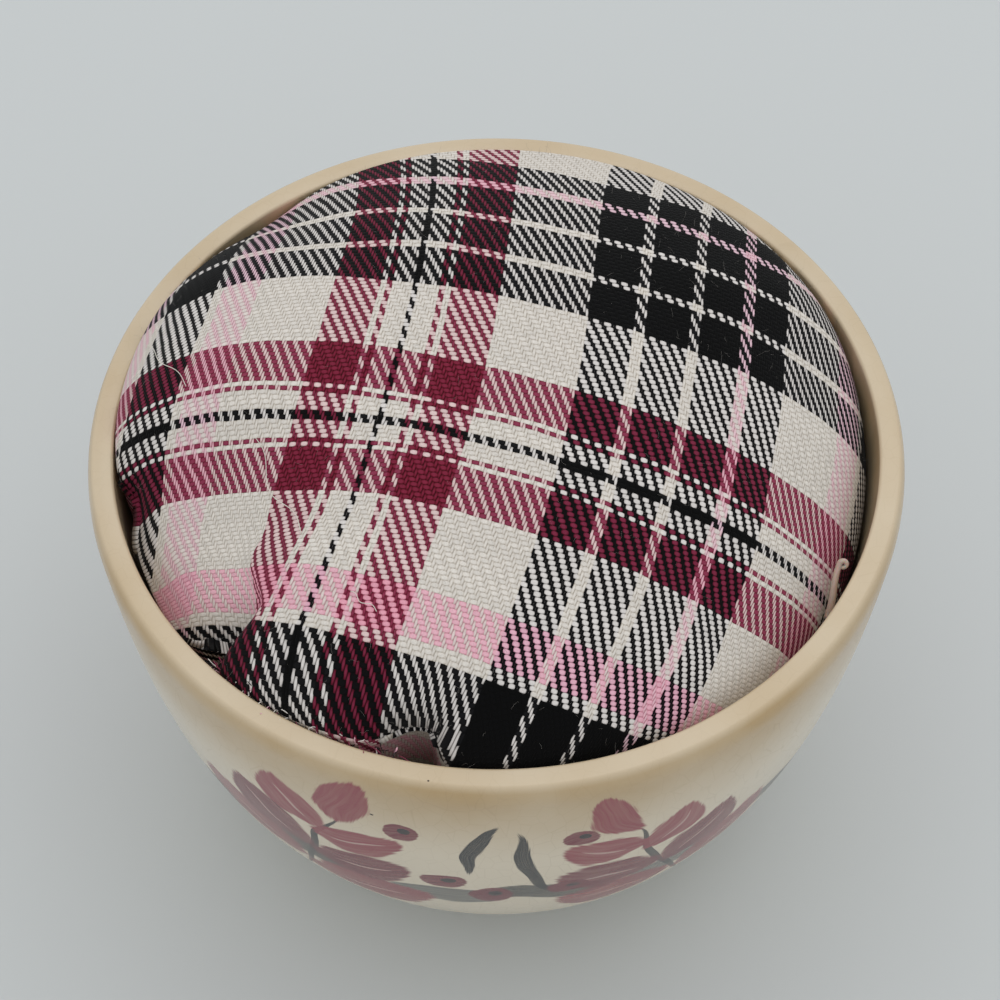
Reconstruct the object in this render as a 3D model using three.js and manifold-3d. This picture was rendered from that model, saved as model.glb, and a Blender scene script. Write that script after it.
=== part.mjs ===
// Pincushion: a stuffed cushion of checked twill, tucked and glued into a small glazed teacup.
// Millimetres, +Z up. The origin is the centre of the foot ring, on the surface that the cup stands on.
import * as THREE from 'three';
import { mergeVertices } from 'three/addons/utils/BufferGeometryUtils.js';
import Module from 'manifold-3d';

// Cup
const RIM_DIAMETER = 90;
const CUP_HEIGHT = 58;
const RIM_WALL = 2.95; // wall at the lip
const BELLY_WALL = 4.4; // wall where the cup turns in to its foot
const FLOOR_THICKNESS = 4.5;
const LIP_OUTER_ROUND = 0.9;
const LIP_INNER_ROUND = 0.4;
const WALL_TAPER = 1.8; // how far the upper wall leans in
const WALL_DROP = 23.5; // depth over which it does so
const BELLY_REACH = 14.4; // how far the belly stands out past the foot
const BELLY_RISE = 5; // how far it curls up from the foot
const FLOOR_RADIUS = 20; // flat floor inside

// Foot ring
const FOOT_DIAMETER = 48;
const FOOT_HEIGHT = 3;
const FOOT_TAPER = 0.7; // the ring narrows towards the table
const FOOT_WIDTH = 3.4; // width of the ring that stands on the table
const FOOT_RECESS = 2.2; // hollow under the cup

// Cushion
const CROWN_RISE = 11.5; // top of the cushion above the rim
const CROWN_FULLNESS = 0.8; // how much flatter on top and steeper at the wall a full crown is than a dome
const CROWN_LEAN = 0.09; // the crown leans to one side, millimetres per millimetre
const CROWN_LEAN_TOWARDS = 159; // degrees from +X
const CLOTH = 0.8; // thickness of the twill
const TUCK = 14; // length of cloth tucked down past the shoulder
const TUCK_SHORT = 11.5; // the raw edge rides this much higher at the front left
const TUCK_SHORT_SIDE = 237; // degrees from +X
const TUCK_SHORT_SPREAD = 15; // degrees

// Shoulder, where the cloth turns down: direction in degrees from +X, height above the rim, room to the wall, and how far
// the stuffing fills the crown out to the wall there, from 0 for an even dome
const SHOULDER = [
  { at: 0, height: -7.8, room: 0.7, full: 1 },
  { at: 25, height: -2.1, room: 0.35, full: 1.05 },
  { at: 40, height: -0.6, room: 0.35, full: 0.87 },
  { at: 50, height: 0.2, room: 0.4, full: 0.57 },
  { at: 62, height: 0.5, room: 0.35, full: 0.25 },
  { at: 90, height: 0.8, room: 0.35, full: 0 },
  { at: 118, height: -0.5, room: 0.4, full: 0.05 },
  { at: 130, height: -1.3, room: 0.55, full: 0.25 },
  { at: 142, height: -0.6, room: 0.35, full: 0.5 },
  { at: 155, height: 0.5, room: 0.35, full: 0.65 },
  { at: 180, height: 0.15, room: 0.35, full: 0.48 },
  { at: 192, height: -3.2, room: 1.3, full: 0.2 },
  { at: 212, height: -5.5, room: 1.2, full: 0.2 },
  { at: 228, height: -1.2, room: 0.4, full: 0.48 },
  { at: 245, height: -0.8, room: 0.35, full: 0.78 },
  { at: 262, height: -1, room: 0.35, full: 0.98 },
  { at: 280, height: -2, room: 0.4, full: 0.96 },
  { at: 300, height: -3.7, room: 0.5, full: 0.9 },
  { at: 318, height: -6.6, room: 0.8, full: 0.9 },
  { at: 332, height: -9.4, room: 1.5, full: 1.06 },
  { at: 345, height: -10.2, room: 1.4, full: 1.04 },
];

// Folds pressed into the cloth beside the rim: direction, share of the way out at which a fold starts, how far it swings
// there in degrees, its depth, and the widths of its two slopes
const FOLDS = [
  { at: 223, start: 0.77, swing: 9, depth: 4.2, before: 4.2, after: 2.6 }, // deep pucker at the front left
  { at: 259.5, start: 0.88, swing: 0, depth: 4, before: 4.6, after: 2.6 }, // pocket at the front
  { at: 190, start: 0.92, swing: 0, depth: 1.6, before: 2.6, after: 3.4 }, // notch at the left wall
];
const FOLD_BEND = 0.08; // share of the way over which a fold swings

// Hot-melt glue
const GLUE_SIDE = 330.7; // degrees from +X
const GLUE_TOP = 5; // depth below the rim at which the smear starts
const GLUE_LENGTH = 6.5;
const GLUE_WIDTH = 3;
const GLUE_THICKNESS = 0.75;
const STRAND_DIAMETER = 0.5;
const STRAND_RISE = 6.4; // length of strand between the smear and the loop
const STRAND_LEAN = 38; // degrees from upright
const STRAND_ROOT = 0.8; // how far the strand starts inside the smear
const STRAND_INSET = 0.15; // the strand stands this much further from the wall than the smear's middle
const LOOP_DIAMETER = 1.2; // at the middle of the strand
const LOOP_TURNS = 0.8; // the loop stays open

// Clearances between pieces that touch on the real object
const WALL_GAP = 0.35;
const FILL_GAP = 0.3;

// Fineness of the facets
const CUP_SEGMENTS = 96;
const CURVE_STEPS = 14;
const ARC_STEPS = 4;
const CUSHION_SEGMENTS = 72;
const CROWN_RINGS = 10;
const RING_CROWDING = 1.4; // above 1 the rings crowd towards the shoulder
const TUCK_RINGS = 3;
const STUFFING_RINGS = 7;
const SMEAR_SEGMENTS = 12;
const STRAND_STEPS = 22;
const STRAND_SIDES = 8;
const HALVINGS = 40; // steps of the search for a height on the wall

// Worked out from the sizes above
const rimRadius = RIM_DIAMETER / 2;
const footRadius = FOOT_DIAMETER / 2;
const floorTop = FOOT_HEIGHT + FLOOR_THICKNESS;
const radians = THREE.MathUtils.degToRad;

const outerWall = new THREE.CubicBezierCurve(
  new THREE.Vector2(rimRadius, CUP_HEIGHT - LIP_OUTER_ROUND),
  new THREE.Vector2(rimRadius - WALL_TAPER, CUP_HEIGHT - WALL_DROP),
  new THREE.Vector2(footRadius + BELLY_REACH, FOOT_HEIGHT + BELLY_RISE),
  new THREE.Vector2(footRadius, FOOT_HEIGHT),
);

const innerWall = new THREE.CubicBezierCurve(
  new THREE.Vector2(rimRadius - RIM_WALL, CUP_HEIGHT - LIP_INNER_ROUND),
  new THREE.Vector2(rimRadius - RIM_WALL - WALL_TAPER, CUP_HEIGHT - WALL_DROP),
  new THREE.Vector2(footRadius + BELLY_REACH - BELLY_WALL, floorTop),
  new THREE.Vector2(FLOOR_RADIUS, floorTop),
);

// Points of a quarter-round about a centre, between two angles in degrees.
function arc(x, z, radius, from, to) {
  const points = [];
  for (let i = 1; i < ARC_STEPS; i++) {
    const angle = radians(from + ((to - from) * i) / ARC_STEPS);
    points.push(new THREE.Vector2(x + radius * Math.cos(angle), z + radius * Math.sin(angle)));
  }
  return points;
}

// The cup's section, from the middle of its underside round the lip to the middle of its floor.
function cupGeometry() {
  const standing = footRadius - FOOT_TAPER;
  const innerRim = rimRadius - RIM_WALL;
  const profile = [
    new THREE.Vector2(0, FOOT_RECESS),
    new THREE.Vector2(standing - FOOT_WIDTH - FOOT_RECESS, FOOT_RECESS),
    new THREE.Vector2(standing - FOOT_WIDTH, 0),
    new THREE.Vector2(standing, 0),
    ...outerWall.getPoints(CURVE_STEPS).reverse(),
    ...arc(rimRadius - LIP_OUTER_ROUND, CUP_HEIGHT - LIP_OUTER_ROUND, LIP_OUTER_ROUND, 0, 90),
    new THREE.Vector2(rimRadius - LIP_OUTER_ROUND, CUP_HEIGHT),
    new THREE.Vector2(innerRim + LIP_INNER_ROUND, CUP_HEIGHT),
    ...arc(innerRim + LIP_INNER_ROUND, CUP_HEIGHT - LIP_INNER_ROUND, LIP_INNER_ROUND, 90, 180),
    ...innerWall.getPoints(CURVE_STEPS),
    new THREE.Vector2(0, floorTop),
  ];
  // A lathe turns about +Y, so the cup is stood up on +Z.
  return new THREE.LatheGeometry(profile, CUP_SEGMENTS).rotateX(Math.PI / 2);
}

// The inner wall's curve parameter at a height, found by halving: the wall falls steadily.
function wallParameter(z) {
  let low = 0;
  let high = 1;
  for (let i = 0; i < HALVINGS; i++) {
    const middle = (low + high) / 2;
    if (innerWall.getPoint(middle).y > z) low = middle;
    else high = middle;
  }
  return low;
}

// A point that stands off the inner wall, in its section plane.
function offWall(parameter, gap) {
  const point = innerWall.getPoint(parameter);
  const tangent = innerWall.getTangent(parameter);
  return new THREE.Vector2(point.x + tangent.y * gap, point.y - tangent.x * gap);
}

// Angle between two directions in degrees, from 0 to 180.
function apart(a, b) {
  return Math.abs(THREE.MathUtils.euclideanModulo(a - b + 180, 360) - 180);
}

function bump(angle, centre, spread) {
  return Math.exp(-((apart(angle, centre) / spread) ** 2));
}

// A smooth curve through the shoulder's places, carried on past a full turn at both ends.
const turns = [-360, 0, 360].flatMap((turn) => SHOULDER.map((place) => ({ ...place, at: place.at + turn })));
const shoulderCurve = new THREE.CubicInterpolant(
  turns.map((place) => place.at),
  turns.flatMap((place) => [place.height, place.room, place.full]),
  3,
);

function shoulderHeight(angle) {
  return CUP_HEIGHT + shoulderCurve.evaluate(angle)[0];
}

function room(angle) {
  return Math.max(WALL_GAP, shoulderCurve.evaluate(angle)[1]);
}

// Depth of the folds at a direction, growing from where they start to the shoulder.
function foldDepth(angle, share) {
  return FOLDS.reduce((sum, fold) => {
    const swing = fold.swing * (1 - THREE.MathUtils.smoothstep(share, fold.start, fold.start + FOLD_BEND));
    const aside = THREE.MathUtils.euclideanModulo(angle - fold.at + swing + 180, 360) - 180;
    const slope = (radians(aside) * (rimRadius - RIM_WALL)) / (aside < 0 ? fold.before : fold.after);
    return sum + fold.depth * THREE.MathUtils.smoothstep(share, fold.start, 1) * Math.exp(-(slope ** 2));
  }, 0);
}

// A point of the crown before it is folded: share runs from 0 at the middle to 1 at the shoulder.
function crownPoint(angle, share) {
  const shoulder = shoulderHeight(angle);
  const radius = offWall(wallParameter(shoulder), room(angle)).x * share;
  const full = CROWN_FULLNESS * Math.max(0, shoulderCurve.evaluate(angle)[2]);
  const cap = Math.max(0, 1 - share ** (2 + full)) ** (1 / (1 + full));
  const lean = CROWN_LEAN * radius * Math.cos(radians(angle - CROWN_LEAN_TOWARDS));
  return polar(radius, angle, shoulder + (CUP_HEIGHT + CROWN_RISE - shoulder + lean) * cap);
}

function tuckLength(angle) {
  return TUCK - TUCK_SHORT * bump(angle, TUCK_SHORT_SIDE, TUCK_SHORT_SPREAD);
}

// A point of the tucked cloth before it is folded, a length below the shoulder.
function tuckPoint(angle, length) {
  const edge = offWall(wallParameter(shoulderHeight(angle) - length), room(angle));
  return polar(edge.x, angle, edge.y);
}

function polar(radius, angle, height) {
  const turn = radians(angle);
  return new THREE.Vector3(radius * Math.cos(turn), radius * Math.sin(turn), height);
}

function angles() {
  return Array.from({ length: CUSHION_SEGMENTS }, (_, i) => (360 * i) / CUSHION_SEGMENTS);
}

// Shares of the crown's rings, closer together where the crown turns down.
function crownShares() {
  return Array.from({ length: CROWN_RINGS }, (_, i) => 1 - (1 - (i + 1) / CROWN_RINGS) ** RING_CROWDING);
}

// Rings of the cloth's outer face from the crown's middle down to the raw edge.
function coverRings() {
  const shares = crownShares();
  const rings = shares.map((share) => angles().map((angle) => crownPoint(angle, share)));
  for (let i = 1; i <= TUCK_RINGS; i++) {
    shares.push(1);
    rings.push(angles().map((angle) => tuckPoint(angle, (tuckLength(angle) * i) / TUCK_RINGS)));
  }
  return inset(rings, crownPoint(0, 0), (row, i) => foldDepth(angles()[i], shares[row]));
}

// Moves each ring point inwards along the surface's normal, taken from its neighbours.
function inset(rings, top, depth) {
  const count = CUSHION_SEGMENTS;
  return rings.map((ring, row) =>
    ring.map((point, i) => {
      const above = row > 0 ? rings[row - 1][i] : top;
      const below = row + 1 < rings.length ? rings[row + 1][i] : point;
      const down = below.clone().sub(above);
      const round = ring[(i + 1) % count].clone().sub(ring[(i + count - 1) % count]);
      const inward = round.cross(down).normalize();
      return point.clone().addScaledVector(inward, depth(row, i));
    }),
  );
}

// A closed skin: a pole, rings of points one after the other, and a pole.
// Each four-sided face is split along the shorter diagonal of the guide's face, so that nested skins are split alike.
function skin(first, rings, last, guide) {
  const count = rings[0].length;
  const points = [first, ...rings.flat(), last];
  const end = points.length - 1;
  const triangles = [];
  for (let i = 0; i < count; i++) {
    const next = (i + 1) % count;
    triangles.push(0, 1 + i, 1 + next);
    for (let row = 0; row + 1 < rings.length; row++) {
      const a = 1 + row * count;
      const b = a + count;
      const forward = guide[row][i].distanceTo(guide[row + 1][next]);
      const backward = guide[row + 1][i].distanceTo(guide[row][next]);
      if (forward <= backward) triangles.push(a + i, b + i, b + next, a + i, b + next, a + next);
      else triangles.push(a + i, b + i, a + next, b + i, b + next, a + next);
    }
    const base = 1 + (rings.length - 1) * count;
    triangles.push(end, base + next, base + i);
  }
  const geometry = new THREE.BufferGeometry().setFromPoints(points);
  geometry.setIndex(triangles);
  geometry.computeVertexNormals();
  return geometry;
}

// The cloth: crown, drawn-in shoulder and tucked side, open at its raw lower edge.
function coverGeometry() {
  const outer = coverRings();
  const top = crownPoint(0, 0);
  const inner = inset(outer, top, () => CLOTH).reverse();
  const under = top.clone();
  under.z -= CLOTH;
  return skin(top, [...outer, ...inner], under, [...outer, ...outer.toReversed()]);
}

// The stuffing: under the cloth, down the wall below the raw edge, and flat on the cup's floor.
function fillingGeometry() {
  const clothTop = crownPoint(0, 0);
  const outer = coverRings();
  const rings = inset(outer, clothTop, () => CLOTH + FILL_GAP);
  const covered = CLOTH + FILL_GAP;
  for (let i = 1; i <= STUFFING_RINGS; i++) {
    const share = i / STUFFING_RINGS;
    rings.push(
      angles().map((angle) => {
        const edge = wallParameter(shoulderHeight(angle) - tuckLength(angle) - CLOTH);
        const gap = THREE.MathUtils.lerp(covered + room(angle), FILL_GAP, share);
        const point = offWall(THREE.MathUtils.lerp(edge, 1, share), gap);
        return polar(point.x, angle, point.y);
      }),
    );
  }
  const top = clothTop.clone();
  top.z -= CLOTH + FILL_GAP;
  const guide = [...outer, ...rings.slice(outer.length)];
  return skin(top, rings, new THREE.Vector3(0, 0, floorTop + FILL_GAP), guide);
}

// Joins two closed geometries into one solid.
function join(wasm, first, second) {
  const solid = (geometry) => {
    const bare = geometry.clone();
    bare.deleteAttribute('normal');
    bare.deleteAttribute('uv');
    const merged = mergeVertices(bare, 1e-4);
    const mesh = new wasm.Mesh({
      numProp: 3,
      vertProperties: new Float32Array(merged.attributes.position.array),
      triVerts: new Uint32Array(merged.index.array),
    });
    return new wasm.Manifold(mesh);
  };
  const mesh = solid(first).add(solid(second)).getMesh();
  const geometry = new THREE.BufferGeometry();
  geometry.setAttribute('position', new THREE.BufferAttribute(mesh.vertProperties, 3));
  geometry.setIndex(new THREE.BufferAttribute(mesh.triVerts, 1));
  geometry.computeVertexNormals();
  return geometry;
}

// The strand's centre line: straight out of the smear, then once round in an open loop.
class StrandCurve extends THREE.Curve {
  getPoint(t, target = new THREE.Vector3()) {
    const radius = LOOP_DIAMETER / 2;
    const rise = STRAND_RISE;
    const turn = LOOP_TURNS * Math.PI * LOOP_DIAMETER;
    const along = t * (rise + turn);
    if (along <= rise) return target.set(0, 0, along);
    const angle = (along - rise) / radius;
    return target.set(radius * (1 - Math.cos(angle)), 0, rise + radius * Math.sin(angle));
  }
}

// Hot-melt glue: a thin smear on the cup's inner wall, with the strand that was drawn from it.
function glueGeometry(wasm) {
  const middle = wallParameter(CUP_HEIGHT - GLUE_TOP - GLUE_LENGTH / 2);
  const lean = innerWall.getTangent(middle).angle() + Math.PI / 2;
  const smear = new THREE.SphereGeometry(0.5, SMEAR_SEGMENTS, SMEAR_SEGMENTS);
  smear.scale(GLUE_WIDTH, GLUE_THICKNESS, GLUE_LENGTH);

  const section = new THREE.Shape().absarc(0, 0, STRAND_DIAMETER / 2, 0, 2 * Math.PI);
  const strand = new THREE.ExtrudeGeometry(section, {
    steps: STRAND_STEPS,
    curveSegments: STRAND_SIDES / 2, // a circle gets two sides for each
    extrudePath: new StrandCurve(),
  });
  strand.rotateY(-radians(STRAND_LEAN));
  strand.translate(0, -STRAND_INSET, GLUE_LENGTH / 2 - STRAND_ROOT);

  const place = offWall(middle, WALL_GAP + GLUE_THICKNESS / 2);
  const piece = join(wasm, smear, strand);
  piece.rotateX(lean);
  piece.rotateZ(radians(GLUE_SIDE - 90));
  const spot = polar(place.x, GLUE_SIDE, place.y);
  return piece.translate(spot.x, spot.y, spot.z);
}

function piece(name, geometry, finish) {
  const mesh = new THREE.Mesh(geometry, new THREE.MeshStandardMaterial({ metalness: 0, ...finish }));
  mesh.name = name;
  return mesh;
}

const wasm = await Module();
wasm.setup();

const pincushion = new THREE.Group();
pincushion.add(
  piece('cup', cupGeometry(), { color: '#d9caa9', roughness: 0.25 }),
  piece('cushion_cover', coverGeometry(), { color: '#b98f98', roughness: 0.95 }),
  piece('cushion_filling', fillingGeometry(), { color: '#ece8df', roughness: 1 }),
  piece('glue_strand', glueGeometry(wasm), { color: '#e9e2d2', roughness: 0.35 }),
);

export default pincushion;
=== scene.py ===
"""Dresses the pincushion: a stuffed cushion of checked twill, tucked and glued into a small glazed teacup."""
import logging
import math
from dataclasses import dataclass, field
from enum import Enum
from typing import Any, ClassVar

import bpy
import numpy as np
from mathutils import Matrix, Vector


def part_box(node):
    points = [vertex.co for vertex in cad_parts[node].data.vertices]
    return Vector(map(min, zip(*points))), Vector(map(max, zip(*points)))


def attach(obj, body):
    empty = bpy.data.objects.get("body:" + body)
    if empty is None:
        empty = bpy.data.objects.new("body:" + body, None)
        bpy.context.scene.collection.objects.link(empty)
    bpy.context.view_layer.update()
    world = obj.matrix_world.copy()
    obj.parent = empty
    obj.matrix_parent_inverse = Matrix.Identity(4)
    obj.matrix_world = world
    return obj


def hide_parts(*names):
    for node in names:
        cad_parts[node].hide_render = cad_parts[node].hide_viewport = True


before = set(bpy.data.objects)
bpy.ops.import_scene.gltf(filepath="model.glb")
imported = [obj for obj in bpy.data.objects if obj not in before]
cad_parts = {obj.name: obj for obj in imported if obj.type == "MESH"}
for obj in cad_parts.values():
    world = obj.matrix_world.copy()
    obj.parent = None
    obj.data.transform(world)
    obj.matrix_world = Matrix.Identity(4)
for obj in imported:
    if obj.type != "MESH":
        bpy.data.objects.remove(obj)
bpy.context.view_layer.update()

LOG = logging.getLogger("pincushion")
MM = 0.001
SQUARE_CM_IN_SQUARE_M = 1e4
ROOT = "root"
SEED = 11
Array = np.ndarray
Faces = list[tuple[int, ...]]
Finish = bpy.types.Material
Node = bpy.types.Node
Piece = bpy.types.Object
Socket = bpy.types.NodeSocket
Tree = bpy.types.NodeTree

# The range that holds most of a noise texture's values.
NOISE_RANGE = (0.3, 0.7)
# The middle of a noise texture's colour.
NOISE_MIDDLE = (0.5, 0.5, 0.5)
# A direction that no tube follows, so that its sides can be set out from it.
TUBE_REFERENCE = np.array([0.31, 0.17, 0.93])


class Hue(Enum):
    """The colours that are seen on the pincushion, as sRGB hex values."""

    WHITE_YARN = "#e4dfd8"
    BLACK_YARN = "#131315"
    BURGUNDY_YARN = "#8f3b54"
    PINK_YARN = "#ecb9c7"
    PALE_PINK_YARN = "#ebcbd3"
    LOOSE_FIBRE = "#d8d3c8"
    CREAM_GLAZE = "#dcd0ba"
    TAN_LIP = "#b89d73"
    CRAZE_BROWN = "#8a7350"
    BARE_CLAY = "#b89e78"
    SPECK = "#4a3d2e"
    MAUVE_PAINT = "#8f4049"
    DEEP_MAUVE_PAINT = "#74303c"
    CHARCOAL_PAINT = "#26292c"
    GREY_PAINT = "#5d5e5c"
    SCRATCHED_LINE = "#d2b9ae"
    WADDING = "#efece4"
    GLUE = "#bba99b"
    FUZZ = "#8d8883"
    FLOOR = "#c9cdcd"


def linear(hue: Hue) -> tuple[float, float, float, float]:
    """Turns a colour's sRGB hex value to linear light.

    Args:
        hue: The colour.

    Returns:
        Red, green and blue in linear light, and an alpha of 1.
    """
    channels = [int(hue.value[k:k + 2], 16) / 255 for k in (1, 3, 5)]
    lit = [c / 12.92 if c <= 0.04045 else ((c + 0.055) / 1.055) ** 2.4 for c in channels]
    return (lit[0], lit[1], lit[2], 1.0)


def feed(tree: Tree, node: Node, values: dict | tuple) -> None:
    """Gives a node's inputs their values and links.

    Args:
        tree: The node's tree.
        node: The node.
        values: What the inputs take, in their order or by name or number: a value, a socket, or another node,
            which stands for its first output in use.
    """
    for name, value in values.items() if isinstance(values, dict) else enumerate(values):
        if isinstance(value, Node):
            value = next(output for output in value.outputs if output.enabled)
        if isinstance(value, Socket):
            tree.links.new(value, node.inputs[name])
        else:
            node.inputs[name].default_value = value


def add(tree: Tree, kind: str, values: dict | tuple = (), **settings: Any) -> Node:
    """Adds a node to a tree with its settings, values and links.

    A mix of colours takes its share as input 0 and the colours as inputs 6 and 7.

    Args:
        tree: The tree that gets the node.
        kind: The node's type name, which may go without "ShaderNode".
        values: What its inputs take, as for feed.
        **settings: The node's own properties.

    Returns:
        The new node.
    """
    node = tree.nodes.new(kind if "Node" in kind else f"ShaderNode{kind}")
    for name, value in settings.items():
        setattr(node, name, value)
    feed(tree, node, values)
    return node


def new_group(name: str, kind: str, inputs: dict[str, str], output: tuple[str, str]) -> Tree:
    """Makes an empty node group with named sockets.

    Args:
        name: The group's name.
        kind: The type of its tree.
        inputs: Its inputs, by name, to what each one takes.
        output: Its output's name and what that one gives.

    Returns:
        The group's tree.
    """
    tree = bpy.data.node_groups.new(name, kind)
    for label, takes in inputs.items():
        tree.interface.new_socket(label, in_out="INPUT", socket_type=f"NodeSocket{takes}")
    tree.interface.new_socket(output[0], in_out="OUTPUT", socket_type=f"NodeSocket{output[1]}")
    return tree


def new_finish(name: str) -> tuple[Finish, Tree, Node]:
    """Makes a material that is still to be filled in.

    Args:
        name: What the material is.

    Returns:
        The material, its node tree and its shader.
    """
    finish = bpy.data.materials.new(name)
    finish.use_nodes = True
    return finish, finish.node_tree, finish.node_tree.nodes["Principled BSDF"]


def smoothstep(low: float, high: float, value: Array) -> Array:
    """Eases from 0 at low to 1 at high."""
    t = np.clip((value - low) / (high - low), 0.0, 1.0)
    return t * t * (3 - 2 * t)


def turned_by(angle: Array, middle: Array | float) -> Array:
    """How far angles lie from a middle, from -180 to 180 degrees."""
    return np.mod(angle - middle + 180, 360) - 180


def round_axis(radius: Array, turn: Array, height: Array) -> Array:
    """Points round the cup's axis, from radii, directions in radians and heights."""
    return np.stack([radius * np.cos(turn), radius * np.sin(turn), height], -1)


def bezier(corners: Array, count: int) -> Array:
    """Points along a cubic curve.

    Args:
        corners: The curve's four control points.
        count: How many points to give.

    Returns:
        The points, ends included.
    """
    t = np.linspace(0, 1, count)[:, None]
    return ((1 - t) ** 3 * corners[0] + 3 * (1 - t) ** 2 * t * corners[1]
            + 3 * (1 - t) * t ** 2 * corners[2] + t ** 3 * corners[3])


def quarter_round(centre: tuple[float, float], radius: float, start: float, end: float,
                  stretch: float = 1.0, steps: int = 7) -> Array:
    """Points of an arc in the section plane, its ends left out.

    Args:
        centre: The arc's centre, as radius from the axis and height.
        radius: The arc's radius.
        start: First angle in degrees.
        end: Last angle in degrees.
        stretch: Its height against its width.
        steps: How many stretches the arc has.

    Returns:
        The points between the ends.
    """
    angle = np.radians(np.linspace(start, end, steps + 1)[1:-1])
    return np.stack([centre[0] + radius * np.cos(angle), centre[1] + stretch * radius * np.sin(angle)], -1)


def make_piece(name: str, points: Array, faces: Faces, finish: Finish | None = None) -> Piece:
    """Makes a smooth-shaded mesh object at the origin, its faces turned outwards.

    Args:
        name: The piece's name.
        points: Vertices in millimetres, in the part's frame.
        faces: Vertex numbers of each face.
        finish: The piece's material, if it has one.

    Returns:
        The new object.
    """
    a, b, c = (points[[face[k] for face in faces]] for k in range(3))
    last = points[[face[-1] for face in faces]]
    volume = np.sum(np.cross(a, b) * c) + np.sum(np.cross(a, c) * last)
    mesh = bpy.data.meshes.new(name)
    mesh.from_pydata((points * MM).tolist(), [], [face[::-1] for face in faces] if volume < 0 else faces)
    mesh.polygons.foreach_set("use_smooth", np.ones(len(mesh.polygons), bool))
    if finish:
        mesh.materials.append(finish)
    mesh.update()
    piece = bpy.data.objects.new(name, mesh)
    bpy.context.scene.collection.objects.link(piece)
    return piece


def ring_faces(rings: int, count: int, first: int = 0) -> Faces:
    """Four-sided faces between closed rings of points that follow one another.

    Args:
        rings: How many rings there are.
        count: Points in each ring.
        first: Number of the first ring's first point.

    Returns:
        Vertex numbers of each face.
    """
    faces = []
    for ring in range(rings - 1):
        a = first + ring * count
        b = a + count
        faces += [(a + i, b + i, b + (i + 1) % count, a + (i + 1) % count) for i in range(count)]
    return faces


def skin(rings: Array, top: Array, bottom: Array) -> tuple[Array, Faces]:
    """A closed skin from a pole over rings of points to another pole.

    Args:
        rings: Points, as rings by columns by three.
        top: The first pole.
        bottom: The last pole.

    Returns:
        The vertices and the faces.
    """
    count = rings.shape[1]
    points = np.concatenate([top[None], rings.reshape(-1, 3), bottom[None]])
    last = len(points) - 1
    base = last - count
    faces = [(0, 1 + i, 1 + (i + 1) % count) for i in range(count)]
    faces += ring_faces(rings.shape[0], count, 1)
    faces += [(last, base + (i + 1) % count, base + i) for i in range(count)]
    return points, faces


def tube(path: Array, radii: Array, sides: int) -> tuple[Array, Faces]:
    """A closed tube along a path.

    Args:
        path: The centre line's points.
        radii: The tube's radius at each point.
        sides: How many sides the tube has.

    Returns:
        The vertices and the faces.
    """
    along = np.gradient(path, axis=0)
    along /= np.linalg.norm(along, axis=1, keepdims=True)
    across = np.cross(along, TUBE_REFERENCE)
    across /= np.linalg.norm(across, axis=1, keepdims=True)
    other = np.cross(along, across)
    turn = np.linspace(0, 2 * np.pi, sides, endpoint=False)
    rim = across[:, None] * np.cos(turn)[None, :, None] + other[:, None] * np.sin(turn)[None, :, None]
    rings = path[:, None] + radii[:, None, None] * rim
    return skin(rings, path[0], path[-1])


def joined(parts: list[tuple[Array, Faces]]) -> tuple[Array, Faces]:
    """Puts several meshes into one.

    Args:
        parts: The vertices and the faces of each mesh.

    Returns:
        The vertices and the faces of all.
    """
    points = np.empty((0, 3))
    faces: Faces = []
    for more, others in parts:
        faces += [tuple(k + len(points) for k in face) for face in others]
        points = np.concatenate([points, more])
    return points, faces


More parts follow.
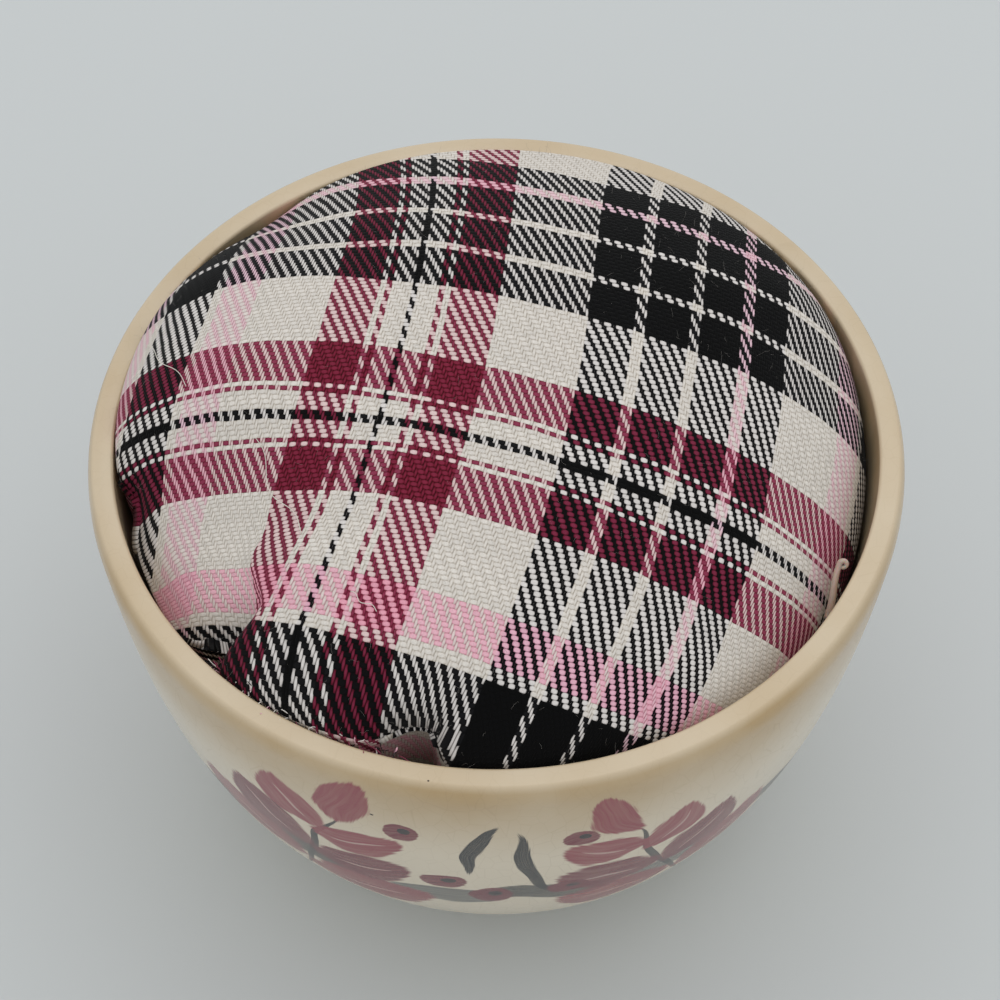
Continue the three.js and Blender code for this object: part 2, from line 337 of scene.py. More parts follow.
@dataclass
class Cup:
    """The teacup: a turned bowl with a flat lip and a foot ring. Sizes are in millimetres."""

    rim_radius: float = field(init=False)  # outer radius of the rim, from the frame
    height: float = field(init=False)  # height of the rim above the table, from the frame
    rim_wall: float = 2.95
    belly_wall: float = 4.4
    floor_thickness: float = 4.5
    lip_outer_round: float = 0.9  # width of the lip's rounded outer edge
    lip_outer_drop: float = 2.6  # how far down that edge reaches
    lip_inner_round: float = 0.4  # radius of the lip's inner edge
    wall_taper: float = 1.8  # how far the wall draws in on its way down from the lip
    wall_drop: float = 23.5  # how far down it does so
    belly_reach: float = 14.4  # how far the belly stands out over the foot
    belly_rise: float = 5.0  # how far the belly rises over the foot
    floor_radius: float = 20.0
    foot_radius: float = 24.0
    foot_height: float = 3.0
    foot_taper: float = 0.7  # how much it narrows down to the table
    foot_width: float = 3.4
    foot_recess: float = 2.2  # depth of the recess inside it
    foot_round: float = 0.5  # radius of its edges
    underside_ring: float = 6.0  # radius of the first ring of points under the floor
    floor_ring: float = 8.0  # radius of the last ring of points on the floor
    segments: int = 256
    wall_steps: int = 64  # points down each side of the wall

    def __post_init__(self) -> None:
        """Takes the rim's radius and height from the frame."""
        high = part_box("cup")[1] / MM
        self.rim_radius, self.height = high.x, high.z

    @property
    def floor_top(self) -> float:
        """Height of the floor inside the cup."""
        return self.foot_height + self.floor_thickness

    @property
    def inner_radius(self) -> float:
        """Radius of the inner wall at the lip."""
        return self.rim_radius - self.rim_wall

    def outer_wall(self) -> Array:
        """Section of the outer wall.

        Returns:
            Points from the lip down to the foot, as radii and heights.
        """
        return bezier(np.array([
            (self.rim_radius, self.height - self.lip_outer_drop),
            (self.rim_radius - self.wall_taper, self.height - self.wall_drop),
            (self.foot_radius + self.belly_reach, self.foot_height + self.belly_rise),
            (self.foot_radius, self.foot_height),
        ]), self.wall_steps)

    def inner_wall(self) -> Array:
        """Section of the inner wall.

        Returns:
            Points from the lip down to the floor, as radii and heights.
        """
        return bezier(np.array([
            (self.inner_radius, self.height - self.lip_inner_round),
            (self.inner_radius - self.wall_taper, self.height - self.wall_drop),
            (self.foot_radius + self.belly_reach - self.belly_wall, self.floor_top),
            (self.floor_radius, self.floor_top),
        ]), self.wall_steps)

    def wall_radius(self, height: Array) -> Array:
        """Radius of the inner wall at heights above the table; above the lip it goes straight up."""
        wall = self.inner_wall()
        return np.interp(-np.asarray(height), -wall[:, 1], wall[:, 0])

    def section(self) -> Array:
        """The whole section, from the underside round the lip to the floor.

        Returns:
            Its points as radii and heights, without those on the axis.
        """
        standing = self.foot_radius - self.foot_taper
        inside = standing - self.foot_width
        soft = self.foot_round
        recess = self.foot_recess
        lip_out = (self.rim_radius - self.lip_outer_round, self.height - self.lip_outer_drop)
        lip_in = (self.inner_radius + self.lip_inner_round, self.height - self.lip_inner_round)
        return np.concatenate([
            [(self.underside_ring, recess), (inside - recess, recess), (inside - soft, soft)],
            quarter_round((inside + soft, soft), soft, 225, 270),
            [(inside + soft, 0.0), (standing - soft, 0.0)],
            quarter_round((standing - soft, soft), soft, 270, 360),
            self.outer_wall()[::-1],
            quarter_round(lip_out, self.lip_outer_round, 0, 90, self.lip_outer_drop / self.lip_outer_round),
            [(lip_out[0], self.height), (lip_in[0], self.height)],
            quarter_round(lip_in, self.lip_inner_round, 90, 180),
            self.inner_wall(),
            [(self.floor_ring, self.floor_top)],
        ])

    def build(self, finish: Finish) -> Piece:
        """Turns the section about the axis.

        Args:
            finish: The glaze.

        Returns:
            The cup, standing for its node.
        """
        section = self.section()
        turn = np.linspace(0, 2 * np.pi, self.segments, endpoint=False)
        rings = round_axis(section[:, :1], turn, np.repeat(section[:, 1:], self.segments, 1))
        points, faces = skin(rings, np.array([0, 0, self.foot_recess]), np.array([0, 0, self.floor_top]))
        piece = make_piece("glazed_cup", points, faces, finish)
        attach(piece, ROOT)
        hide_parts("cup")
        return piece


@dataclass(frozen=True)
class BrushMark:
    """One mark of a loaded brush on the cup. Sizes are in millimetres."""

    x: float  # its middle, round the cup
    y: float  # height of its middle above the table
    turn: float  # its direction in degrees
    length: float
    width: float
    paint: Hue
    bend: float = 0.0  # how far its ends bow, as a share of its width
    points: float = 2.0  # 2 for an oval, less for pointed ends
    strength: float = 1.0  # how well the paint covers


@dataclass(frozen=True)
class Sprig:
    """A leafy sprig, painted with a few strokes of the brush. Sizes are in millimetres."""

    x: float  # where its stem starts, round the cup
    y: float  # the height of that start
    lean: float  # direction of the stem in degrees
    pairs: int
    leaf: float  # length of the largest leaf
    spacing: float  # distance from one pair to the next
    stem: float = 1.1  # width of the stem
    beyond: float = 0.4  # how far the stem goes past the last pair, in spacings
    shrink: float = 0.16  # how much smaller each pair is than the one before, as a share of the largest leaf
    spread: float = 62.0  # how far the first leaves turn from the stem, in degrees
    closing: float = 9.0  # how much less each later pair does so
    first: float = 0.35  # place of the first pair on the stem, in spacings
    stagger: float = 0.12  # how far each leaf of a pair lies from that place
    broad: float = 0.62  # width of a leaf against its length
    stalk: float = 0.56  # distance from the stem to a leaf's middle, against its length
    vein: float = 0.45  # width of the line that is scratched along a leaf
    pointed: float = 1.6  # form of the ends of leaves, as in BrushMark

    def along(self, distance: float) -> tuple[float, float]:
        """A place on the stem, at a distance from its start."""
        turn = math.radians(self.lean)
        return self.x + distance * math.cos(turn), self.y + distance * math.sin(turn)

    def marks(self) -> list[BrushMark]:
        """The sprig's strokes: stem, pairs of leaves, tip.

        Returns:
            The marks, in the order in which they are painted.
        """
        reach = self.spacing * (self.pairs + self.beyond)
        middle = self.along(reach / 2)
        made = [BrushMark(*middle, self.lean, reach, self.stem, Hue.CHARCOAL_PAINT, bend=1.6, points=1.5)]
        for pair in range(self.pairs):
            size = self.leaf * (1 - self.shrink * pair)
            for side in (-1, 1):
                turn = self.lean + side * (self.spread - self.closing * pair)
                root = self.along(self.spacing * (pair + self.first + self.stagger * side))
                x = root[0] + self.stalk * size * math.cos(math.radians(turn))
                y = root[1] + self.stalk * size * math.sin(math.radians(turn))
                paint = Hue.MAUVE_PAINT if (pair + side) % 2 else Hue.DEEP_MAUVE_PAINT
                made.append(BrushMark(x, y, turn, size, self.broad * size, paint,
                                      bend=0.25 * side, points=self.pointed))
                made.append(BrushMark(x, y, turn, 0.6 * size, self.vein, Hue.SCRATCHED_LINE,
                                      bend=0.9 * side, points=self.pointed, strength=0.6))
        tip = self.along(reach + 0.3 * self.leaf)
        made.append(BrushMark(*tip, self.lean, 0.72 * self.leaf, 0.36 * self.leaf, Hue.MAUVE_PAINT,
                              bend=0.2, points=self.pointed))
        return made


@dataclass(frozen=True)
class Glaze:
    """Glazed earthenware: a cream clay under a clear, finely crazed glaze, painted by brush under it.

    The glaze gives soft bright reflections. The crazing shows as a faint brown net, and kiln specks as dark
    dots. Sizes are in millimetres.
    """

    roughness: float = 0.16  # roughness where the glaze is smoothest
    dulling: float = 0.1  # how much rougher it is in its cloudy patches
    bare_dulling: float = 0.6  # how much rougher the bare clay of the foot is
    bare_from: float = 0.4  # height up to which the foot is bare
    bare_to: float = 0.9  # height from which it is glazed
    craze_cell: float = 1.9  # size of a cell of the crazing
    craze_line: float = 0.03  # width of its lines as a share of a cell
    craze_shape: tuple[float, float, float] = (1.0, 1.0, 0.55)  # how the net is squeezed along each axis
    craze_wall: float = 0.26  # strength of the lines on the wall
    craze_rim: float = 0.12  # their strength at the rim
    tan_depth: float = 19.0  # how far down from the rim the clay is tan
    tan_share: float = 0.9  # how tan it is at the rim
    tan_worn: float = 0.6  # how much of that is left on the lip's top
    tan_patches: tuple[float, float] = (0.75, 1.2)  # least and most of it in the cloudy patches
    speck_cell: float = 7.0  # distance between places where a speck can be
    speck_radius: float = 0.22
    speck_share: float = 0.4  # share of the places that have one
    mottle: float = 14.0  # size of the cloudy patches
    ripple: float = 6.0  # size of the ripples in the glaze
    ripple_depth: float = 0.15
    ripple_strength: float = 0.25  # how much of that depth shows
    paint_radius: float = 44.0  # radius at which lengths round the cup are measured
    repeats: int = 3  # how often the painting is repeated round the cup
    hand: float = 9.0  # length over which the painter's hand drifts
    drift: float = 3.4  # how far it drifts
    # How brush hairs streak a mark along, across and through it.
    hairs: tuple[float, float, float] = (0.9, 7.0, 1.0)
    ragged: float = 0.5  # how far the streaks fray a mark's edge
    edge: tuple[float, float] = (1.12, 1.36)  # where a mark's edge starts and ends to fade
    streaks: tuple[float, float] = (0.35, 0.7)  # noise at which streaks start, and at which they are thinnest
    thin: float = 0.86  # how much paint is left in the thinnest streaks

    # Places of the dabs along the base, in quarters of a repeat.
    DABS: ClassVar = (-1.62, -0.98, -0.3, 0.3, 0.98, 1.62)
    # Place, height, direction and length of the reeds.
    REEDS: ClassVar = ((-2.5, 43.0, 76.0, 14.0), (3.5, 38.0, 103.0, 19.0))
    # Place, height and size of the berries.
    BERRIES: ClassVar = ((-6.0, 33.0, 5.0), (-1.0, 28.5, 5.6), (8.5, 30.5, 5.2), (9.0, 45.0, 4.2),
                         (-10.5, 46.0, 4.4))

    def repeat_length(self) -> float:
        """Length round the cup after which the painting starts again, in millimetres."""
        return 2 * math.pi * self.paint_radius / self.repeats

    def marks(self) -> list[BrushMark]:
        """One repeat of the painting: dabs along the base, two sprigs, the reeds between them, and berries.

        Returns:
            The marks, in the order in which they are painted.
        """
        quarter = self.repeat_length() / 4
        made: list[BrushMark] = []
        for k, x in enumerate(self.DABS):
            odd = k % 2
            paint = Hue.CHARCOAL_PAINT if odd else Hue.GREY_PAINT
            made.append(BrushMark(x * quarter, 27.5 + 1.5 * odd, 10 - 20 * odd, length=17.0, width=6.0,
                                  paint=paint, bend=0.3, points=1.7, strength=0.92))
        made += Sprig(-quarter - 3, 19.0, lean=74.0, pairs=3, leaf=17.0, spacing=8.0).marks()
        made += Sprig(quarter + 2, 18.0, lean=112.0, pairs=3, leaf=16.0, spacing=8.2).marks()
        for x, y, turn, length in self.REEDS:
            made.append(BrushMark(x, y, turn, length, 2.2, Hue.CHARCOAL_PAINT, bend=0.8, points=1.5))
        for x, y, size in self.BERRIES:
            made.append(BrushMark(x, y, 20.0, size, 0.86 * size, Hue.DEEP_MAUVE_PAINT))
            made.append(BrushMark(x + 0.5, y + 0.4, 20.0, 0.34 * size, 0.28 * size, Hue.CHARCOAL_PAINT))
        return made

    def mark_group(self) -> Tree:
        """The shape of one brush mark, streaked along the stroke by the brush's hairs.

        Returns:
            A group that gives how well the paint covers, from 0 to 1.
        """
        inputs = {"Local": "Vector", "Bend": "Float", "Points": "Float", "Strength": "Float"}
        tree = new_group("Brush mark", "ShaderNodeTree", inputs, ("Cover", "Float"))
        given = add(tree, "NodeGroupInput").outputs
        axis = add(tree, "SeparateXYZ", (given["Local"],)).outputs
        squared = add(tree, "Math", (axis["X"], axis["X"]), operation="MULTIPLY")
        bowed = add(tree, "Math", (squared, given["Bend"], axis["Y"]), operation="MULTIPLY_ADD")
        sides = []
        for value in (axis["X"], bowed):
            size = add(tree, "Math", (value,), operation="ABSOLUTE")
            sides.append(add(tree, "Math", (size, given["Points"]), operation="POWER"))
        reach = add(tree, "Math", (sides[0], sides[1]), operation="ADD")
        streaks = add(tree, "CombineXYZ", (axis["X"], bowed, axis["Z"]))
        stretched = add(tree, "VectorMath", (streaks, self.hairs), operation="MULTIPLY")
        hair = add(tree, "TexNoise", {"Vector": stretched, "Scale": 1.0, "Detail": 2.0})
        frayed = add(tree, "Math", (hair, self.ragged, reach), operation="MULTIPLY_ADD")
        cover = add(tree, "MapRange", (frayed, *self.edge, 1.0, 0.0), interpolation_type="SMOOTHSTEP")
        thin = add(tree, "MapRange", (hair, *self.streaks, 1.0, self.thin))
        painted = add(tree, "Math", (cover, thin), operation="MULTIPLY")
        strong = add(tree, "Math", (painted, given["Strength"]), operation="MULTIPLY")
        add(tree, "NodeGroupOutput", {"Cover": strong})
        return tree

    def painting(self, tree: Tree, ground: Node, place: Socket) -> Node:
        """Lays the brush marks over the clay's colour.

        Args:
            tree: The glaze's node tree.
            ground: The colour under the painting.
            place: Object coordinates.

        Returns:
            The painted colour.
        """
        axis = add(tree, "SeparateXYZ", (place,)).outputs
        towards = add(tree, "Math", (axis["Y"], -1.0), operation="MULTIPLY")
        angle = add(tree, "Math", (axis["X"], towards), operation="ARCTAN2")
        around = add(tree, "Math", (angle, self.paint_radius), operation="MULTIPLY")
        half = self.repeat_length() / 2
        wrapped = add(tree, "Math", (around, half, -half), operation="WRAP")
        height = add(tree, "Math", (axis["Z"], 1 / MM), operation="MULTIPLY")
        plane = add(tree, "CombineXYZ", (wrapped, height, angle))
        unsteady = add(tree, "TexNoise", {
            "Vector": place, "Scale": 1 / (self.hand * MM), "Detail": 1.0}).outputs["Color"]
        centred = add(tree, "VectorMath", (unsteady, NOISE_MIDDLE), operation="SUBTRACT")
        shift = add(tree, "VectorMath", (centred, (self.drift, self.drift, 0.0)), operation="MULTIPLY")
        hand = add(tree, "VectorMath", (plane, shift), operation="ADD")
        facing = add(tree, "TexCoord").outputs["Normal"]
        outward = add(tree, "VectorMath", (facing, place), operation="DOT_PRODUCT")
        outside = add(tree, "Math", (outward, 0.0), operation="GREATER_THAN")
        group = self.mark_group()
        colour = ground
        for mark in self.marks():
            local = add(tree, "Mapping", {
                "Vector": hand, "Location": (mark.x, mark.y, 0.0),
                "Rotation": (0.0, 0.0, math.radians(mark.turn)),
                "Scale": (mark.length / 2, mark.width / 2, 1.0)}, vector_type="TEXTURE")
            cover = add(tree, "Group", {
                "Local": local, "Bend": mark.bend, "Points": mark.points, "Strength": mark.strength},
                node_tree=group)
            colour = add(tree, "Mix", {0: cover, 6: colour, 7: linear(mark.paint)}, data_type="RGBA")
        return add(tree, "Mix", {0: outside, 6: ground, 7: colour}, data_type="RGBA")

    def tan(self, tree: Tree, height: Socket, cloudy: Node, cup: Cup) -> Node:
        """How tan the clay is: more towards the rim, less on the lip's worn top, and in patches.

        Args:
            tree: The glaze's node tree.
            height: Height above the table.
            cloudy: The cloudy patches.
            cup: The cup.

        Returns:
            The share of tan.
        """
        rim = cup.height * MM
        start = (cup.height - self.tan_depth) * MM
        lip = (cup.height - cup.lip_outer_round) * MM
        upper = add(tree, "MapRange", (height, start, rim, 0.0, self.tan_share),
                    interpolation_type="SMOOTHSTEP")
        worn = add(tree, "MapRange", (height, lip, rim, 1.0, self.tan_worn))
        blotch = add(tree, "MapRange", (cloudy, *NOISE_RANGE, *self.tan_patches))
        faded = add(tree, "Math", (upper, worn), operation="MULTIPLY")
        return add(tree, "Math", (faded, blotch), operation="MULTIPLY")

    def crazing(self, tree: Tree, place: Socket, height: Socket, cloudy: Node, cup: Cup) -> Node:
        """How brown the net of fine cracks is: faint, patchy, and fainter at the rim.

        Args:
            tree: The glaze's node tree.
            place: Object coordinates.
            height: Height above the table.
            cloudy: The cloudy patches.
            cup: The cup.

        Returns:
            The share of brown.
        """
        tall = add(tree, "VectorMath", (place, self.craze_shape), operation="MULTIPLY")
        net = add(tree, "TexVoronoi", {"Vector": tall, "Scale": 1 / (self.craze_cell * MM)},
                  feature="DISTANCE_TO_EDGE")
        craze = add(tree, "MapRange", (net, 0.0, self.craze_line, 1.0, 0.0))
        start = (cup.height - 2 * cup.lip_outer_drop) * MM
        strength = add(tree, "MapRange", (height, start, cup.height * MM, self.craze_wall, self.craze_rim))
        stained = add(tree, "Math", (craze, strength), operation="MULTIPLY")
        return add(tree, "Math", (stained, cloudy), operation="MULTIPLY")

    def specks(self, tree: Tree, place: Socket) -> Node:
        """Where the kiln specks are.

        Args:
            tree: The glaze's node tree.
            place: Object coordinates.

        Returns:
            1 in a speck, and 0 elsewhere.
        """
        dots = add(tree, "TexVoronoi", {"Vector": place, "Scale": 1 / (self.speck_cell * MM)}).outputs
        dot = add(tree, "Math", (dots["Distance"], self.speck_radius / self.speck_cell),
                  operation="LESS_THAN")
        chance = add(tree, "SeparateColor", (dots["Color"],))
        rare = add(tree, "Math", (chance, self.speck_share), operation="LESS_THAN")
        return add(tree, "Math", (dot, rare), operation="MULTIPLY")

    def build(self, cup: Cup) -> Finish:
        """Makes the glaze.

        Args:
            cup: The cup that it covers.

        Returns:
            The material.
        """
        finish, tree, shader = new_finish("Painted and glazed earthenware")
        place = add(tree, "TexCoord").outputs["Object"]
        height = add(tree, "SeparateXYZ", (place,)).outputs["Z"]
        cloudy = add(tree, "TexNoise", {"Vector": place, "Scale": 1 / (self.mottle * MM), "Detail": 5.0})
        clay = add(tree, "Mix", {
            0: self.tan(tree, height, cloudy, cup), 6: linear(Hue.CREAM_GLAZE), 7: linear(Hue.TAN_LIP)},
            data_type="RGBA")
        bare = add(tree, "MapRange", (height, self.bare_from * MM, self.bare_to * MM, 1.0, 0.0))
        colour = self.painting(tree, clay, place)
        for share, hue in ((self.crazing(tree, place, height, cloudy, cup), Hue.CRAZE_BROWN),
                           (self.specks(tree, place), Hue.SPECK), (bare, Hue.BARE_CLAY)):
            colour = add(tree, "Mix", {0: share, 6: colour, 7: linear(hue)}, data_type="RGBA")
        uneven = add(tree, "MapRange", (cloudy, *NOISE_RANGE, self.roughness, self.roughness + self.dulling))
        matt = add(tree, "Math", (bare, self.bare_dulling, uneven), operation="MULTIPLY_ADD")
        ripple = add(tree, "TexNoise", {"Vector": place, "Scale": 1 / (self.ripple * MM), "Detail": 2.0})
        bump = add(tree, "Bump", {
            "Height": ripple, "Strength": self.ripple_strength, "Distance": self.ripple_depth * MM})
        feed(tree, shader, {"Base Color": colour, "Roughness": matt, "Normal": bump})
        return finish


class Family(Enum):
    """The two families of yarn in the cloth."""

    WARP = "warp"
    WEFT = "weft"


@dataclass(frozen=True)
class Stripe:
    """A stripe of dyed yarn in one family, counted in yarns from the middle of the check."""

    start: int  # its first yarn
    end: int  # the yarn after its last
    yarn: Hue  # its colour; what lies between stripes is white


# The twill's colour carries painted shade in the gaps and painted bounce light between yarns.
@dataclass(frozen=True)
class Twill:
    """Yarn-dyed cotton twill, two over and two under: matt round yarns whose diagonals run down to the right.

    Colours blend by eye where a dyed stripe crosses a white one, and pale fibres stand off the yarns as a
    soft sheen. Sizes are in millimetres.
    """

    warp_pitch: float = 0.325  # distance from one warp yarn to the next
    weft_pitch: float = 0.545  # distance from one weft yarn to the next
    over: int = 2  # how many yarns each yarn goes over, and then under
    yarn_height: float = 0.12  # height of the yarns in the bump
    relief: float = 0.8  # how much of that height shows
    roundness: float = 0.6  # 1 for yarns that are a sine across, less for flatter tops
    crimp: float = 0.62  # how far a yarn waves over and under the others, where 1 is its own height
    weft_lift: float = 0.28  # how much higher the weft lies than the warp
    lowest: float = 0.2  # height at the bottom of the gaps
    painted_bounce: float = 0.22  # painted bounce light: how much a yarn is tinted by light from the one under it
    side_shade: float = 0.8  # painted shade: how much its low sides are darkened by that one's colour
    side_top: float = 0.8  # height from which they don't
    gap_shade_gamma: float = 1.7  # painted shade: how much deeper colours get in the gaps
    dark_gap_shade_gamma: float = 1.4  # painted shade: how much deeper still the gaps get where both yarns are dark
    dark_to: float = 0.5  # red in linear light from which a yarn isn't dark, for that painted shade
    # How fast yarns wander, for each warp yarn and each weft yarn passed.
    wander_pace: tuple[float, float, float] = (0.09, 0.14, 0.0)
    wander_reach: tuple[float, float, float] = (1.1, 0.8, 0.0)  # how far they do so, in yarns
    yarn_tones: tuple[float, float] = (0.93, 1.05)  # darkest and lightest yarn by chance
    fibre_tones: tuple[float, float] = (0.9, 1.08)  # darkest and lightest fibre along a yarn
    fibre_pace: float = 2.2  # fibres for each yarn
    height_shade_tones: tuple[float, float] = (0.72, 0.92)  # painted shade: tone in the gaps and on top
    roughness: float = 0.9
    specular: float = 0.12  # how much they mirror
    sheen: float = 0.04  # how much their loose fibres catch the light
    sheen_roughness: float = 0.5  # how wide that sheen is

    def stripes(self, family: Family) -> list[Stripe]:
        """The check's stripes in one family of yarn.

        Args:
            family: The family.

        Returns:
            Its stripes, in the order of their yarns.
        """
        k, b, p, q = Hue.BLACK_YARN, Hue.BURGUNDY_YARN, Hue.PINK_YARN, Hue.PALE_PINK_YARN
        places = {
            Family.WARP: (
                (-122, -106, q), (-102, -76, k), (-72, -56, q), (-28, -12, b), (-10, -8, b), (-1, 1, k),
                (8, 10, b), (12, 28, b), (58, 74, k), (78, 94, k), (98, 114, k), (114, 119, q), (119, 134, k),
                (164, 180, q), (184, 210, k)),
            Family.WEFT: (
                (-77, -67, p), (-64, -48, k), (-45, -35, p), (-17, -7, b), (-6, -5, b), (-1, 1, k), (5, 6, b),
                (7, 17, b), (35, 45, k), (47, 57, k), (59, 69, k), (69, 72, q), (72, 81, k), (99, 109, p),
                (112, 128, k)),
        }
        return [Stripe(*place) for place in places[family]]

    def dyed(self, tree: Tree, yarn: Node, family: Family) -> Node:
        """The colour of a yarn by its number.

        Args:
            tree: The cloth's node tree.
            yarn: The yarn's number.
            family: Its family.

        Returns:
            The yarn's colour.
        """
        middle = add(tree, "Math", (yarn, 0.5), operation="ADD")
        stripes = self.stripes(family)
        colour: Any = linear(Hue.WHITE_YARN)
        for hue in sorted({stripe.yarn for stripe in stripes}, key=lambda yarn: yarn.name):
            mask = None
            for stripe in (stripe for stripe in stripes if stripe.yarn is hue):
                centre = (stripe.start + stripe.end) / 2
                inside = add(tree, "Math", (middle, centre, stripe.end - centre), operation="COMPARE")
                mask = add(tree, "Math", (mask, inside), operation="ADD") if mask else inside
            colour = add(tree, "Mix", {0: mask, 6: colour, 7: linear(hue)}, data_type="RGBA")
        return colour

    def yarn_top(self, tree: Tree, across: Node, along: Node, crimp: float) -> Node:
        """Height of a yarn's top: round across the yarn, waving over and under the yarns that it crosses.

        Args:
            tree: The cloth's node tree.
            across: Place across the yarn, from 0 to 1.
            along: Place along the yarn, in crossings, counted from where it comes up.
            crimp: How far it waves, negative where it starts by going down.

        Returns:
            The height, where 1 is the top of a straight yarn.
        """
        sines = []
        for place, half_wave in ((across, 1), (along, self.over)):
            turn = add(tree, "Math", (place, math.pi / half_wave), operation="MULTIPLY")
            sines.append(add(tree, "Math", (turn,), operation="SINE"))
        arch = add(tree, "Math", (sines[0], self.roundness), operation="POWER")
        return add(tree, "Math", (sines[1], crimp, arch), operation="MULTIPLY_ADD")

    def shaded(self, tree: Tree, top: Node, under: Node, height: Node) -> Node:
        """The upper yarn's colour with painted light and shade: bounce from the lower yarn, darker low sides
        and gaps.

        Args:
            tree: The cloth's node tree.
            top: Colour of the yarn that lies higher.
            under: Colour of the other.
            height: Height from the gaps at 0 to the highest yarn at 1.

        Returns:
            The colour that is seen.
        """
        # Painted bounce light: the upper yarn takes on the hue of the yarn under it.
        tint = add(tree, "SeparateColor", (under,), mode="HSV").outputs
        glow = add(tree, "CombineColor", (tint[0], tint[1], 1.0), mode="HSV")
        tinted = add(tree, "Mix", {0: self.painted_bounce, 6: top, 7: glow}, data_type="RGBA",
                     blend_type="MULTIPLY")
        # Painted shade: the upper yarn's low sides are darkened by the colour of the yarn under it.
        sides = add(tree, "MapRange", (height, 0.0, self.side_top, self.side_shade, 0.0))
        seen = add(tree, "Mix", {0: sides, 6: tinted, 7: under}, data_type="RGBA", blend_type="MULTIPLY")
        # Painted shade: colours are deepened low in the gaps, and more so where both yarns are dark.
        low = add(tree, "MapRange", (height, 0.0, 1.0, self.gap_shade_gamma, 1.0))
        lighter = add(tree, "VectorMath", (top, under), operation="MAXIMUM")
        red = add(tree, "SeparateXYZ", (lighter,))
        dark = add(tree, "MapRange", (red, 0.0, self.dark_to, self.dark_gap_shade_gamma, 1.0))
        gap = add(tree, "Math", (low, dark), operation="MULTIPLY")
        return add(tree, "Gamma", (seen, gap))

    def tone(self, tree: Tree, yarn: Node, threads: Node, height: Node) -> Node:
        """How light the cloth is at a place: by yarn and by fibre, and darker low down as painted shade in
        the gaps.

        Args:
            tree: The cloth's node tree.
            yarn: Number of the yarn that lies higher.
            threads: Places on the cloth, in yarns.
            height: Height from the gaps at 0 to the highest yarn at 1.

        Returns:
            The tone, about 1.
        """
        chance = add(tree, "TexWhiteNoise", {"W": yarn}, noise_dimensions="1D")
        fibres = add(tree, "TexNoise", {"Vector": threads, "Scale": self.fibre_pace, "Detail": 3.0})
        tone = None
        # The tone by height is painted shade, darker low in the gaps.
        spans = ((chance, (0.0, 1.0), self.yarn_tones), (fibres, NOISE_RANGE, self.fibre_tones),
                 (height, (0.0, self.side_top), self.height_shade_tones))
        for value, span, tones in spans:
            part = add(tree, "MapRange", (value, *span, *tones))
            tone = add(tree, "Math", (tone, part), operation="MULTIPLY") if tone else part
        return tone

    def build(self) -> Finish:
        """Makes the cloth from a UV map that counts warp yarns and weft yarns.

        Returns:
            The material.
        """
        finish, tree, shader = new_finish("Yarn-dyed checked twill")
        threads = add(tree, "UVMap", uv_map="Threads")
        slow = add(tree, "VectorMath", (threads, self.wander_pace), operation="MULTIPLY")
        wander = add(tree, "TexNoise", {
            "Vector": slow, "Scale": 1.0, "Detail": 4.0, "Roughness": 0.6}).outputs["Color"]
        centred = add(tree, "VectorMath", (wander, NOISE_MIDDLE), operation="SUBTRACT")
        drift = add(tree, "VectorMath", (centred, self.wander_reach), operation="MULTIPLY")
        woven = add(tree, "VectorMath", (threads, drift), operation="ADD")
        axis = add(tree, "SeparateXYZ", (woven,)).outputs
        number, tops = [], []
        for value in (axis["X"], axis["Y"]):
            number.append(add(tree, "Math", (value,), operation="FLOOR"))
        for own, length, crimp in ((0, axis["Y"], self.crimp), (1, axis["X"], -self.crimp)):
            across = add(tree, "Math", (axis[own],), operation="FRACT")
            along = add(tree, "Math", (number[own], length), operation="ADD")
            tops.append(self.yarn_top(tree, across, along, crimp))
        tops[1] = add(tree, "Math", (tops[1], self.weft_lift), operation="ADD")
        warp_up = add(tree, "Math", (tops[0], tops[1]), operation="GREATER_THAN")
        highest = add(tree, "Math", (tops[0], tops[1]), operation="MAXIMUM")
        height = add(tree, "MapRange", (highest, self.lowest, 1.0 + self.crimp))
        warp = self.dyed(tree, number[0], Family.WARP)
        weft = self.dyed(tree, number[1], Family.WEFT)
        top = add(tree, "Mix", {0: warp_up, 6: weft, 7: warp}, data_type="RGBA")
        under = add(tree, "Mix", {0: warp_up, 6: warp, 7: weft}, data_type="RGBA")
        upper = add(tree, "Mix", {0: warp_up, 2: number[1], 3: number[0]})
        # Painted light and shade: the yarn colours carry painted bounce light, and painted shade on low sides
        # and in the gaps.
        cloth = add(tree, "VectorMath", {
            0: self.shaded(tree, top, under, height), "Scale": self.tone(tree, upper, threads, height)},
            operation="SCALE")
        bump = add(tree, "Bump", {
            "Height": height, "Strength": self.relief, "Distance": self.yarn_height * MM})
        feed(tree, shader, {
            "Base Color": cloth, "Normal": bump, "Roughness": self.roughness,
            "Specular IOR Level": self.specular, "Sheen Weight": self.sheen,
            "Sheen Roughness": self.sheen_roughness})
        return finish


@dataclass(frozen=True)
class Station:
    """How the cloth meets the wall in one direction round the cup. Sizes are in millimetres."""

    angle: float  # direction in degrees from +X
    height: float  # where the cloth turns down, above the rim
    gap: float  # room between the cloth and the wall there
    full: float  # how far the stuffing fills the crown out to the wall, from 0 for an even dome


@dataclass(frozen=True)
class Pleat:
    """A fold that is pressed into the cloth beside the rim. Sizes are in millimetres."""

    angle: float  # direction of its valley at the rim, in degrees from +X
    slant: float  # how far the valley swings near its start, in degrees
    start: float  # share of the way out at which it starts
    depth: float  # its depth at the rim
    before: float  # width of its slope on the side of smaller angles
    after: float  # width of its slope on the other side
    gather: float  # half of the cloth that is hidden in it
    lap: float = 0.0  # how far the side of larger angles hangs over the valley
    broad: float = 2.0  # 2 for a valley shaped like a bell, more for a broader one


